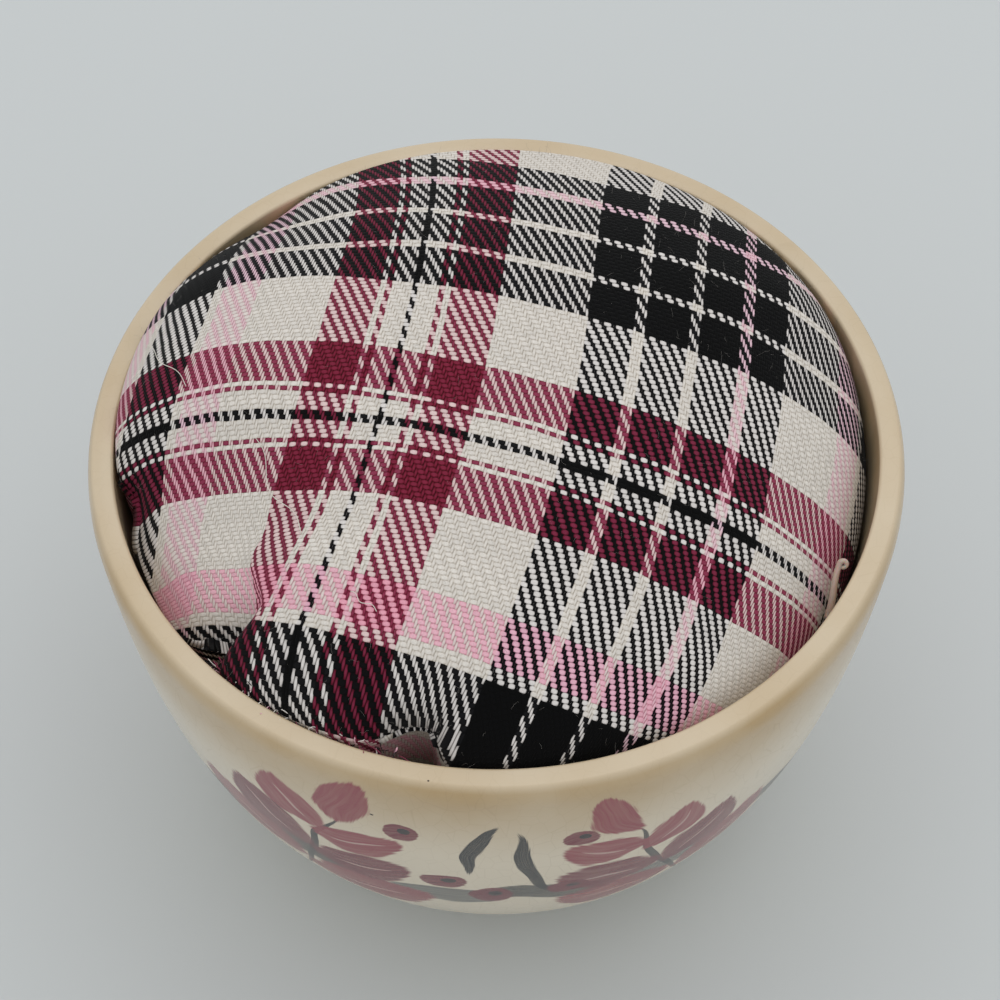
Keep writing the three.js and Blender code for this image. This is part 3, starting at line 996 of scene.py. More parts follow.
@dataclass(frozen=True)
class Slip:
    """A stretch of cloth that was pulled beside the rim."""

    angle: float  # its middle, in degrees from +X
    spread: float  # its half width in degrees
    start: float  # share of the way out at which it starts
    weft: float  # how far it was pulled along its weft count at the rim, in millimetres
    warp: float = 0.0  # how far along its warp count

    def at(self, angle: Array, share: Array) -> Array:
        """How much of the pull has come at places on the cloth, from 0 to 1."""
        return smoothstep(self.start, 1.0, share) * np.exp(-(turned_by(angle, self.angle) / self.spread) ** 2)


@dataclass(frozen=True)
class Lay:
    """How one family of yarn lies over the cushion, as its distance from the check's middle in millimetres.

    The cloth is flattened along its slopes first; right and away are measured there, in reaches.
    """

    offset: float  # distance at the crown's middle
    right: float  # its change to the right
    away: float  # its change away from the viewer
    right_bow: float  # bow that grows to both sides
    away_bow: float  # bow that grows to the front and the back
    twist: float  # bow that grows along the diagonal
    flare: float  # change of the away spacing towards the sides
    spread: float  # change of the right spacing towards the front and the back
    right_taper: float  # change of the right spacing towards the sides
    away_taper: float  # change of the away spacing towards the front and the back
    right_shear: float  # change of the twist towards the sides
    away_shear: float  # change of the twist towards the front and the back
    reach: float = 40.0  # length of a reach

    def distance(self, x: Array, y: Array) -> Array:
        """Distance from the check's middle.

        Args:
            x: Places on the flattened cloth, to the right.
            y: The same places, away from the viewer.

        Returns:
            The distance at each place.
        """
        x, y = x / self.reach, y / self.reach
        return (self.offset + self.right * x + self.away * y + self.right_bow * x * x + self.away_bow * y * y
                + self.twist * x * y + self.flare * x * x * y + self.spread * x * y * y
                + self.right_taper * x ** 3 + self.away_taper * y ** 3
                + self.right_shear * x ** 3 * y + self.away_shear * x * y ** 3)


@dataclass
class CushionCover:
    """The cloth: a crown over the stuffing, a shoulder at the wall, pleats, and a raw edge tucked in.

    Lengths are in millimetres, and directions in degrees from +X. Shares of the way out go from 0 at the
    crown's middle to 1 at the shoulder.
    """

    cup: Cup
    twill: Twill
    columns: int = 340  # columns of the cloth's grid, round the cup
    crown_rows: int = 72  # its rows from the middle to the shoulder
    tuck_rows: int = 14  # its rows below the shoulder
    rise: float = 11.5  # height of the crown's middle over the rim
    lean: float = 0.09  # how steeply the crown leans
    lean_towards: float = 159.0  # the direction in which it is higher
    fullness: float = 0.8  # how much of the stations' fullness shows
    full_span: tuple[float, float] = (0.1, 0.75)  # shares of the way out over which their differences come in
    cloth: float = 0.5  # thickness of the cloth
    tuck: float = 14.0  # how far the cloth goes down past the shoulder
    tuck_short: float = 12.8  # how much of that is trimmed off at the front left
    short_from: float = 228.0  # direction in which the trimmed stretch starts
    short_to: float = 247.0  # direction in which it ends
    short_ease: tuple[float, float] = (4.0, 2.0)  # how far its ends ease out and in, in degrees
    lump_waves: int = 14  # how many waves make up the stuffing's lumps
    lump_height: float = 0.055  # height of each of these waves
    lump_lengths: tuple[float, float] = (11, 26)  # shortest and longest of them
    lump_end: tuple[float, float] = (0.85, 1.0)  # shares of the way out over which they end
    swing: float = 0.08  # share of the way out over which a pleat's valley swings
    lap_width: float = 1.7  # half width of a pleat's lap
    gather_width: float = 13.0  # half width of the cloth that a pleat draws in
    gather_step: float = 1.2  # half width of the step at its valley
    gather_shift: float = 0.35  # how far the step is shifted, from -1 to 1
    gather_early: float = 0.12  # how much farther in than the pleat it starts, as a share of the way out
    gather_full: float = 0.9  # share of the way out at which it is complete
    dense: float = 1.8  # how much closer the columns stand where the cloth is folded
    dense_from: tuple[float, float] = (178.0, 186.0)  # directions over which they draw closer
    dense_to: tuple[float, float] = (266.0, 276.0)  # directions over which they spread again
    angles: Array = field(init=False)  # directions of the columns in degrees

    STATIONS: ClassVar[tuple[Station, ...]] = (
        Station(0, -6.0, 0.35, 1.1), Station(25, -1.7, 0.3, 1.1), Station(40, -0.6, 0.35, 0.87),
        Station(50, 0.2, 0.4, 0.57), Station(62, 0.5, 0.35, 0.25), Station(90, 0.8, 0.3, 0.0),
        Station(105, 0.8, 0.3, 0.02), Station(118, 0.2, 0.35, 0.08), Station(130, -1.3, 0.55, 0.25),
        Station(142, -0.6, 0.35, 0.5), Station(155, 0.5, 0.15, 0.65), Station(168, 0.7, 0.1, 0.62),
        Station(180, 0.15, 0.2, 0.48), Station(186, -0.8, 0.4, 0.3), Station(192, -3.2, 0.6, 0.2),
        Station(202, -5.0, 0.7, 0.15), Station(212, -5.5, 0.8, 0.2), Station(220, -4.0, 0.8, 0.34),
        Station(228, -1.2, 0.4, 0.48), Station(245, -0.8, 0.35, 0.78), Station(262, -1.0, 0.35, 0.98),
        Station(280, -2.0, 0.4, 0.96), Station(300, -3.7, 0.5, 0.9), Station(318, -6.6, 0.8, 0.9),
        Station(332, -8.6, 0.8, 1.12), Station(345, -8.8, 0.45, 1.12),
    )
    PLEATS: ClassVar[tuple[Pleat, ...]] = (
        Pleat(223.0, 9.0, 0.77, 4.2, 4.2, 1.3, 1.95, 1.0),
        Pleat(258.8, 0.0, 0.90, 4.4, 4.6, 2.6, 0.3, 0.5, 2.7),
        Pleat(190.0, 0.0, 0.92, 1.6, 1.6, 3.4, 0.0),
    )
    SLIPS: ClassVar[tuple[Slip, ...]] = (
        Slip(204.0, 12.0, 0.78, 0.0, -1.2),
        Slip(201.0, 11.0, 0.9, 2.4),
        Slip(243.0, 17.0, 0.84, 2.2),
        Slip(260.0, 6.0, 0.94, 3.2),
    )
    WARP: ClassVar = Lay(10.4, 38.1, -7.0, 1.8, 3.7, 3.4, -4.9, -0.6, 3.7, -0.4, 3.2, -6.2)
    WEFT: ClassVar = Lay(8.8, 9.4, 38.3, 2.3, -1.1, -4.2, 4.8, 2.8, -1.3, -0.7, -1.5, 4.1)

    def __post_init__(self) -> None:
        """Sets the columns' directions, closer together where the cloth is folded."""
        tenths = np.linspace(0, 360, 3601)
        folded = smoothstep(*self.dense_from, tenths) * (1 - smoothstep(*self.dense_to, tenths))
        dense = 1 + self.dense * folded
        share = np.concatenate([[0], np.cumsum((dense[1:] + dense[:-1]) / 2)])
        self.angles = np.interp(np.linspace(0, share[-1], self.columns, endpoint=False), share, tenths)

    def station(self, quantity: str, angle: Array) -> Array:
        """A smooth value round the rim, from the stations.

        Args:
            quantity: Name of the station's value.
            angle: Directions in degrees.

        Returns:
            The value in each direction.
        """
        turns = np.array([s.angle for s in self.STATIONS])
        values = np.array([getattr(s, quantity) for s in self.STATIONS])
        x = np.concatenate([turns - 360, turns, turns + 360])
        y = np.tile(values, 3)
        slope = np.gradient(y, x)
        angle = np.mod(angle, 360)
        k = np.searchsorted(x, angle, side="right") - 1
        span = x[k + 1] - x[k]
        t = (angle - x[k]) / span
        return ((2 * t ** 3 - 3 * t ** 2 + 1) * y[k] + (t ** 3 - 2 * t ** 2 + t) * span * slope[k]
                + (3 * t ** 2 - 2 * t ** 3) * y[k + 1] + (t ** 3 - t ** 2) * span * slope[k + 1])

    def edge_radius(self, angle: Array) -> Array:
        """Radius of the shoulder."""
        shoulder = self.cup.height + self.station("height", angle)
        return self.cup.wall_radius(shoulder) - self.station("gap", angle)

    def crown(self, angle: Array, share: Array) -> tuple[Array, Array]:
        """The smooth crown: an even dome at the back, rolled over towards the wall elsewhere.

        Args:
            angle: Directions in degrees.
            share: Shares of the way out, from 0 at the middle to 1 at the shoulder.

        Returns:
            Radii and heights.
        """
        radius = self.edge_radius(angle) * share
        even = np.mean([station.full for station in self.STATIONS])
        own = np.maximum(0, self.station("full", angle))
        full = self.fullness * (even + (own - even) * smoothstep(*self.full_span, share))
        cap = np.maximum(0, 1 - share ** (2 + full)) ** (1 / (1 + full))
        shoulder = self.station("height", angle)
        lean = self.lean * radius * np.cos(np.radians(angle - self.lean_towards))
        return radius, self.cup.height + shoulder + (self.rise - shoulder + lean) * cap

    def tuck_length(self, angle: Array) -> Array:
        """How far the cloth goes down past the shoulder.

        Args:
            angle: Directions in degrees.

        Returns:
            The length in each direction.
        """
        out, into = self.short_ease
        short = smoothstep(self.short_from - out, self.short_from + into, angle)
        short = short * (1 - smoothstep(self.short_to - into, self.short_to + out, angle))
        return self.tuck - self.tuck_short * short

    def base_grid(self) -> tuple[Array, Array, Array, Array]:
        """The cloth before it is folded.

        Returns:
            Angles, shares of the way out (above 1 in the tuck), radii and heights, each as rows by columns.
        """
        shares = np.sin(np.pi / 2 * np.linspace(0, 1, self.crown_rows + 1)[1:])
        angle = np.tile(self.angles, (self.crown_rows, 1))
        share = np.tile(shares[:, None], (1, self.columns))
        radius, height = self.crown(angle, share)
        down = np.linspace(0, 1, self.tuck_rows + 1)[1:, None] * self.tuck_length(self.angles)
        below = self.cup.height + self.station("height", self.angles) - down
        tucked = self.cup.wall_radius(below) - self.station("gap", self.angles)
        rows = np.tile(self.angles, (self.tuck_rows, 1))
        return (np.concatenate([angle, rows]), np.concatenate([share, 1 + down / self.tuck]),
                np.concatenate([radius, tucked]), np.concatenate([height, below]))

    def flattened(self, angle: Array, radius: Array, height: Array) -> tuple[Array, Array]:
        """Places on the cloth when it is laid flat along its slopes.

        Args:
            angle: Directions in degrees.
            radius: Radii.
            height: Heights.

        Returns:
            Distances to the right of the crown's middle, and away from the viewer.
        """
        top = self.cup.height + self.rise
        rise = np.diff(np.concatenate([np.full((1, self.columns), top), height]), axis=0)
        out = np.diff(np.concatenate([np.zeros((1, self.columns)), radius]), axis=0)
        along = np.cumsum(np.hypot(rise, out), axis=0)
        turn = np.radians(angle)
        return along * np.cos(turn), along * np.sin(turn)

    def threads(self, angle: Array, share: Array, radius: Array, height: Array) -> Array:
        """Counts the yarns over the cloth, with the cloth that the pleats hide left out.

        Args:
            angle: Directions in degrees.
            share: Shares of the way out.
            radius: Radii.
            height: Heights.

        Returns:
            Numbers of the warp yarn and the weft yarn at each place.
        """
        x, y = self.flattened(angle, radius, height)
        warp = self.WARP.distance(x, y)
        weft = self.WEFT.distance(x, y)
        for pleat in self.PLEATS:
            side, _ = self.pleat_place(pleat, angle, share, radius)
            grown = smoothstep(pleat.start - self.gather_early, self.gather_full, share)
            across = np.tanh(side / self.gather_step)
            near = grown * np.exp(-(side / self.gather_width) ** 2)
            warp = warp + pleat.gather * near * (across - self.gather_shift)
        for slip in self.SLIPS:
            weft = weft + slip.weft * slip.at(angle, share)
            warp = warp + slip.warp * slip.at(angle, share)
        return np.stack([warp / self.twill.warp_pitch, weft / self.twill.weft_pitch], -1)

    def pleat_place(self, pleat: Pleat, angle: Array, share: Array, radius: Array) -> tuple[Array, Array]:
        """Distance beside a pleat's valley, and how far the pleat has grown there.

        Args:
            pleat: The pleat.
            angle: Directions in degrees.
            share: Shares of the way out.
            radius: Radii.

        Returns:
            Signed distances in millimetres, and growth from 0 to 1.
        """
        swung = smoothstep(pleat.start, pleat.start + self.swing, share)
        valley = pleat.angle - pleat.slant * (1 - swung)
        return np.radians(turned_by(angle, valley)) * radius, smoothstep(pleat.start, 1.0, share)

    def lump_heights(self, points: Array, share: Array) -> Array:
        """The stuffing's lumps: waves in all directions, which end before the shoulder.

        Args:
            points: Places on the cloth.
            share: Shares of the way out.

        Returns:
            Heights of the lumps.
        """
        rng = np.random.default_rng(SEED)
        lumps = np.zeros_like(share)
        for _ in range(self.lump_waves):
            heading = rng.uniform(0, 2 * np.pi)
            wave = rng.uniform(*self.lump_lengths)
            phase = rng.uniform(0, 2 * np.pi)
            place = points[..., 0] * np.cos(heading) + points[..., 1] * np.sin(heading)
            lumps += np.cos(2 * np.pi * place / wave + phase)
        return lumps * (self.lump_height * (1 - smoothstep(*self.lump_end, share)))

    def folded(self, grid: tuple[Array, ...], inset: float = 0.0, widen: float = 0.0) -> Array:
        """The cloth's outer face with its pleats and the lumps of the stuffing.

        Args:
            grid: Angles, shares, radii and heights of the unfolded cloth.
            inset: How far inside the cloth to go.
            widen: How much wider the pleats are there.

        Returns:
            The points, as rows by columns by three.
        """
        angle, share, radius, height = grid
        turn = np.radians(angle)
        points = round_axis(radius, turn, height)
        round_cup = np.stack([-np.sin(turn), np.cos(turn), np.zeros_like(turn)], -1)
        depth = np.full_like(radius, inset)
        lap = np.zeros_like(radius)
        for pleat in self.PLEATS:
            side, reach = self.pleat_place(pleat, angle, share, radius)
            width = np.where(side < 0, pleat.before, pleat.after) + widen
            depth += pleat.depth * reach * np.exp(-np.abs(side / width) ** pleat.broad)
            lap += pleat.lap * reach * np.exp(-((side - pleat.after) / self.lap_width) ** 2)
        lifted = self.lump_heights(points, share) - depth
        return points + self.normals(points) * lifted[..., None] - round_cup * lap[..., None]

    @staticmethod
    def normals(points: Array) -> Array:
        """Outward normals of the cloth.

        Args:
            points: A grid of rows down the cloth and columns round it.

        Returns:
            A unit normal for each point.
        """
        down = np.gradient(points, axis=0)
        round_cup = np.roll(points, -1, axis=1) - np.roll(points, 1, axis=1)
        normal = np.cross(down, round_cup)
        return normal / np.linalg.norm(normal, axis=-1, keepdims=True)

    def build(self, finish: Finish) -> Piece:
        """Makes the cover as a closed cloth with an outer and an inner face.

        Args:
            finish: The twill.

        Returns:
            The cover, standing for its node.
        """
        grid = self.base_grid()
        outer = self.folded(grid) + Settling().moves(self)
        inner = outer - self.cloth * self.normals(outer)
        count = self.threads(*grid)
        top = np.array([0, 0, self.cup.height + self.rise])
        rings = np.concatenate([outer, inner[::-1]])
        points, faces = skin(rings, top, top - np.array([0, 0, self.cloth]))
        piece = make_piece("cushion_cloth", points, faces, finish)
        middle = count[0].mean(axis=0)
        numbers = np.concatenate([count, count[::-1]]).reshape(-1, 2)
        numbers = np.concatenate([middle[None], numbers, middle[None]])
        mesh = piece.data
        corners = np.empty(len(mesh.loops), np.int32)
        mesh.loops.foreach_get("vertex_index", corners)
        mesh.uv_layers.new(name="Threads").data.foreach_set("uv", numbers[corners].astype(np.float32).ravel())
        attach(piece, ROOT)
        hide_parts("cushion_cover")
        return piece


@dataclass(frozen=True)
class Settling:
    """How the cloth settles over its stuffing: a cloth simulation with pressure inside, on a coarse copy."""

    columns: int = 144  # columns of the copy's grid
    crown_rows: int = 30  # rows of its crown
    tuck_rows: int = 3  # rows of its tuck
    frames: int = 20
    pressure: float = 3.0
    held_from: float = 0.9  # share of the way out from which the wall starts to hold the cloth
    reach: float = 0.5  # the farthest that a point may move, in millimetres
    # Size of the copy against life, because the solver suits pieces about a metre across.
    growth: float = 10.0
    quality: int = 6  # steps of the solver for each frame
    mass: float = 0.3  # mass of a point of the cloth, in kilograms
    tension: float = 25.0  # how stiffly the cloth stays as long as it is
    shear: float = 8.0  # how stiffly it stays square
    bending: float = 0.4  # how stiffly it stays flat

    def simulated(self, start: Array, share: Array) -> Array:
        """Runs the simulation.

        Args:
            start: The cloth's grid of points.
            share: Shares of the way out on it.

        Returns:
            The grid after the last frame.
        """
        poles = np.array([[0, 0, start[0, :, 2].mean()], [0, 0, start[-1, :, 2].mean()]])
        points, faces = skin(start * self.growth, *(poles * self.growth))
        copy = make_piece("settling_copy", points, faces)
        held = copy.vertex_groups.new(name="Held")
        weights = np.concatenate([[0.0], smoothstep(self.held_from, 1.0, share).ravel(), [1.0]])
        for vertex, weight in enumerate(weights):
            held.add([vertex], float(weight), "REPLACE")
        modifier = copy.modifiers.new("Settling", "CLOTH")
        modifier.point_cache.frame_start = 1
        modifier.point_cache.frame_end = self.frames
        cloth = modifier.settings
        cloth.vertex_group_mass = held.name
        cloth.quality = self.quality
        cloth.mass = self.mass
        cloth.tension_stiffness = self.tension
        cloth.compression_stiffness = self.tension
        cloth.shear_stiffness = self.shear
        cloth.bending_stiffness = self.bending
        cloth.use_pressure = True
        cloth.uniform_pressure_force = self.pressure
        cloth.effector_weights.gravity = 0.0
        scene = bpy.context.scene
        for frame_number in range(1, self.frames + 1):
            scene.frame_set(frame_number)
        settled = copy.evaluated_get(bpy.context.evaluated_depsgraph_get()).to_mesh()
        places = np.empty(len(points) * 3, np.float32)
        settled.vertices.foreach_get("co", places)
        scene.frame_set(1)
        bpy.data.objects.remove(copy)
        return places.reshape(-1, 3)[1:-1].reshape(start.shape) / (self.growth * MM)

    def moves(self, cover: CushionCover) -> Array:
        """How far the settling moves each point of the cloth.

        Args:
            cover: The cloth.

        Returns:
            Moves in millimetres, on the cloth's grid.
        """
        copy = CushionCover(cover.cup, cover.twill, self.columns, self.crown_rows, self.tuck_rows)
        grid = copy.base_grid()
        start = copy.folded(grid)
        moved = self.simulated(start, grid[1]) - start
        moved *= np.minimum(1, self.reach / np.maximum(np.linalg.norm(moved, axis=-1, keepdims=True), 1e-6))
        share = cover.base_grid()[1].mean(axis=1)
        coarse = grid[1].mean(axis=1)
        rows = np.stack([np.interp(share, coarse, line) for line in moved.reshape(len(start), -1).T], 1)
        rows = rows.reshape(len(share), self.columns, 3)
        return np.stack([[np.interp(cover.angles, copy.angles, line, period=360) for line in rows[..., axis]]
                         for axis in range(3)], -1)


@dataclass
class Filling:
    """The wadding: it fills the cup from its floor and swells the cloth. Sizes are in millimetres."""

    cover: CushionCover
    inset: float = 1.3  # how far it lies inside the cloth's outer face
    widen: float = 2.5  # how much wider the pleats are in it
    wall_gap: float = 0.5  # its room inside the cup
    loosen: tuple[float, float] = (0.45, 0.7)  # shares of the way down over which it widens to the wall
    rows: int = 24  # rows of points down its side

    def build(self, finish: Finish) -> Piece:
        """Makes the wadding as one closed body.

        Args:
            finish: The wadding's material.

        Returns:
            The wadding, standing for its node.
        """
        cover, cup = self.cover, self.cover.cup
        grid = tuple(values[1:cover.crown_rows:2, ::2] for values in cover.base_grid())
        crown = cover.folded(grid, self.inset, self.widen)
        edge = crown[-1]
        bottom = cup.floor_top + self.wall_gap
        share = np.linspace(0, 1, self.rows + 1)[1:, None]
        height = edge[:, 2] + share * (bottom - edge[:, 2])
        wall = cup.wall_radius(height) - self.wall_gap
        tight = np.minimum(wall, np.hypot(edge[:, 0], edge[:, 1]))
        radius = tight + (wall - tight) * smoothstep(*self.loosen, share)
        side = round_axis(radius, np.radians(grid[0][0]), height)
        top = np.array([0, 0, cup.height + cover.rise - self.inset])
        points, faces = skin(np.concatenate([crown, side]), top, np.array([0, 0, bottom]))
        piece = make_piece("wadding", points, faces, finish)
        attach(piece, ROOT)
        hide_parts("cushion_filling")
        return piece


@dataclass
class Glue:
    """Hot-melt glue on the inner wall: a smear, and a strand that was drawn out of it and curled.

    Sizes are in millimetres.
    """

    cup: Cup
    side: float = 330.7  # its direction in degrees from +X
    smear_top: float = 5.0  # depth of the smear's top below the rim
    smear_length: float = 6.5
    smear_width: float = 3.0
    smear_thickness: float = 0.7  # its thickness at the middle
    smear_edge: float = 0.06  # its thickness at the edge
    smear_narrow: float = 0.3  # how much narrower it is above, as a share
    smear_rings: int = 8  # rings of points from its middle to its edge
    smear_columns: int = 40  # points in each ring
    wall_gap: float = 0.3  # its room beside the wall
    strand_length: float = 6.4
    strand_lean: float = 38.0  # how far the strand leans, in degrees
    strand_bow: float = 0.35  # how far it bows
    strand_radius: float = 0.34
    strand_root: float = 1.25  # its thickness at the start, against that radius
    strand_thinning: float = 0.6  # how much of that it loses up to its tip
    strand_below: float = 0.8  # how far below the smear's top it starts
    strand_inset: float = 0.45  # its distance from the wall there
    strand_off: float = 1.1  # how much farther it stands off later
    strand_off_by: float = 0.45  # share of its length by which it does so
    strand_points: int = 18  # points along its straight part
    strand_sides: int = 10
    loop_radius: float = 0.38
    loop_turns: float = 0.8  # how far the loop goes round
    loop_side: float = 0.3  # how far the loop opens along the wall, as a share
    loop_out: float = 0.95  # how far it opens towards the wall, as a share
    loop_points: int = 21

    def on_wall(self, along: Array, height: Array, inset: Array) -> Array:
        """Places beside the inner wall.

        Args:
            along: Distance round the wall from the glue's middle.
            height: Height above the rim.
            inset: Distance from the wall.

        Returns:
            The points.
        """
        level = self.cup.height + height
        turn = math.radians(self.side) + along / self.cup.inner_radius
        return round_axis(self.cup.wall_radius(level) - inset, turn, level)

    def smear(self) -> tuple[Array, Faces]:
        """The smear: a flat drop, wider below.

        Returns:
            The vertices and the faces.
        """
        share = np.linspace(0, 1, self.smear_rings + 1)[1:, None]
        turn = np.linspace(0, 2 * np.pi, self.smear_columns, endpoint=False)
        along = self.smear_width / 2 * share * np.cos(turn) * (1 - self.smear_narrow * np.sin(turn))
        height = -self.smear_top + self.smear_length / 2 * (share * np.sin(turn) - 1)
        swell = self.smear_thickness * np.sqrt(np.maximum(0, 1 - share ** 2)) * np.ones_like(turn)
        edge = self.wall_gap + self.smear_edge
        front = self.on_wall(along, height, edge + swell)
        back = self.on_wall(along, height, np.full_like(along, self.wall_gap))
        middle = np.array([0.0]), np.array([-self.smear_top - self.smear_length / 2])
        first = self.on_wall(*middle, np.array([edge + self.smear_thickness]))[0]
        last = self.on_wall(*middle, np.array([self.wall_gap]))[0]
        return skin(np.concatenate([front, back[::-1]]), first, last)

    def strand(self) -> tuple[Array, Faces]:
        """The strand: straight and leaning, then a small loop, thinner towards its tip.

        Returns:
            The vertices and the faces.
        """
        lean = math.radians(self.strand_lean)
        ahead = np.array([math.sin(lean), math.cos(lean)])
        left = np.array([-math.cos(lean), math.sin(lean)])
        reach = np.linspace(0, 1, self.strand_points)[:, None]
        run = self.strand_length * reach * ahead + self.strand_bow * np.sin(np.pi * reach) * left
        turn = np.linspace(0, 2 * np.pi * self.loop_turns, self.loop_points + 1)[1:, None]
        ring = self.loop_radius * (1 - np.cos(turn))
        loop = run[-1] - self.loop_side * ring * left + self.loop_radius * ahead * np.sin(turn)
        flat = np.concatenate([run, loop])
        share = np.linspace(0, 1, len(flat))
        off = self.strand_off * smoothstep(0.0, self.strand_off_by, share)
        inset = self.wall_gap + self.strand_inset + off
        inset[len(run):] -= self.loop_out * ring[:, 0]
        path = self.on_wall(flat[:, 0], flat[:, 1] - self.smear_top - self.strand_below, inset)
        radii = self.strand_radius * (self.strand_root - self.strand_thinning * share)
        return tube(path, radii, self.strand_sides)

    def build(self, finish: Finish) -> Piece:
        """Makes the smear and the strand as one piece.

        Args:
            finish: The glue's material.

        Returns:
            The glue, standing for its node.
        """
        piece = make_piece("drawn_glue", *joined([self.smear(), self.strand()]), finish)
        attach(piece, ROOT)
        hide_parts("glue_strand")
        return piece


@dataclass(frozen=True)
class PlainFinish:
    """A finish of one colour that is a little uneven, as fibres and poured glue are."""

    name: str
    hue: Hue
    roughness: float
    grain: float  # size of its uneven patches, in millimetres
    translucence: float = 0.0  # how much light passes through it
    reach: float = 1.0  # how far that light spreads, in millimetres
    tones: tuple[float, float] = (0.9, 1.08)  # its darkest and lightest patches
    relief: float = 0.1  # depth of the patches as a share of their size
    relief_strength: float = 0.3  # how much of that depth shows

    def build(self) -> Finish:
        """Makes the finish.

        Returns:
            The material.
        """
        finish, tree, shader = new_finish(self.name)
        place = add(tree, "TexCoord").outputs["Object"]
        patches = add(tree, "TexNoise", {"Vector": place, "Scale": 1 / (self.grain * MM), "Detail": 3.0})
        tone = add(tree, "MapRange", (patches, *NOISE_RANGE, *self.tones))
        colour = add(tree, "VectorMath", {0: linear(self.hue)[:3], "Scale": tone}, operation="SCALE")
        bump = add(tree, "Bump", {
            "Height": patches, "Strength": self.relief_strength, "Distance": self.relief * self.grain * MM})
        feed(tree, shader, {
            "Base Color": colour, "Normal": bump, "Roughness": self.roughness,
            "Subsurface Weight": self.translucence, "Subsurface Scale": self.reach * MM})
        return finish


@dataclass(frozen=True)
class YarnEnds:
    """Frayed yarn ends in the cloth's colours, each end one colour by chance."""

    roughness: float = 0.9
    black_from: float = 0.4  # chance from which an end is black; below it, it is white
    burgundy_from: float = 0.65  # chance from which it is burgundy
    pink_from: float = 0.85  # chance from which it is pink

    def build(self) -> Finish:
        """Makes the finish from the shade that each strand carries.

        Returns:
            The material.
        """
        finish, tree, shader = new_finish("Frayed yarn ends")
        shade = add(tree, "Attribute", attribute_name="shade").outputs["Fac"]
        colour: Any = linear(Hue.WHITE_YARN)
        for above, hue in ((self.black_from, Hue.BLACK_YARN), (self.burgundy_from, Hue.BURGUNDY_YARN),
                           (self.pink_from, Hue.PINK_YARN)):
            chosen = add(tree, "Math", (shade, above), operation="GREATER_THAN")
            colour = add(tree, "Mix", {0: chosen, 6: colour, 7: linear(hue)}, data_type="RGBA")
        feed(tree, shader, {"Base Color": colour, "Roughness": self.roughness})
        return finish


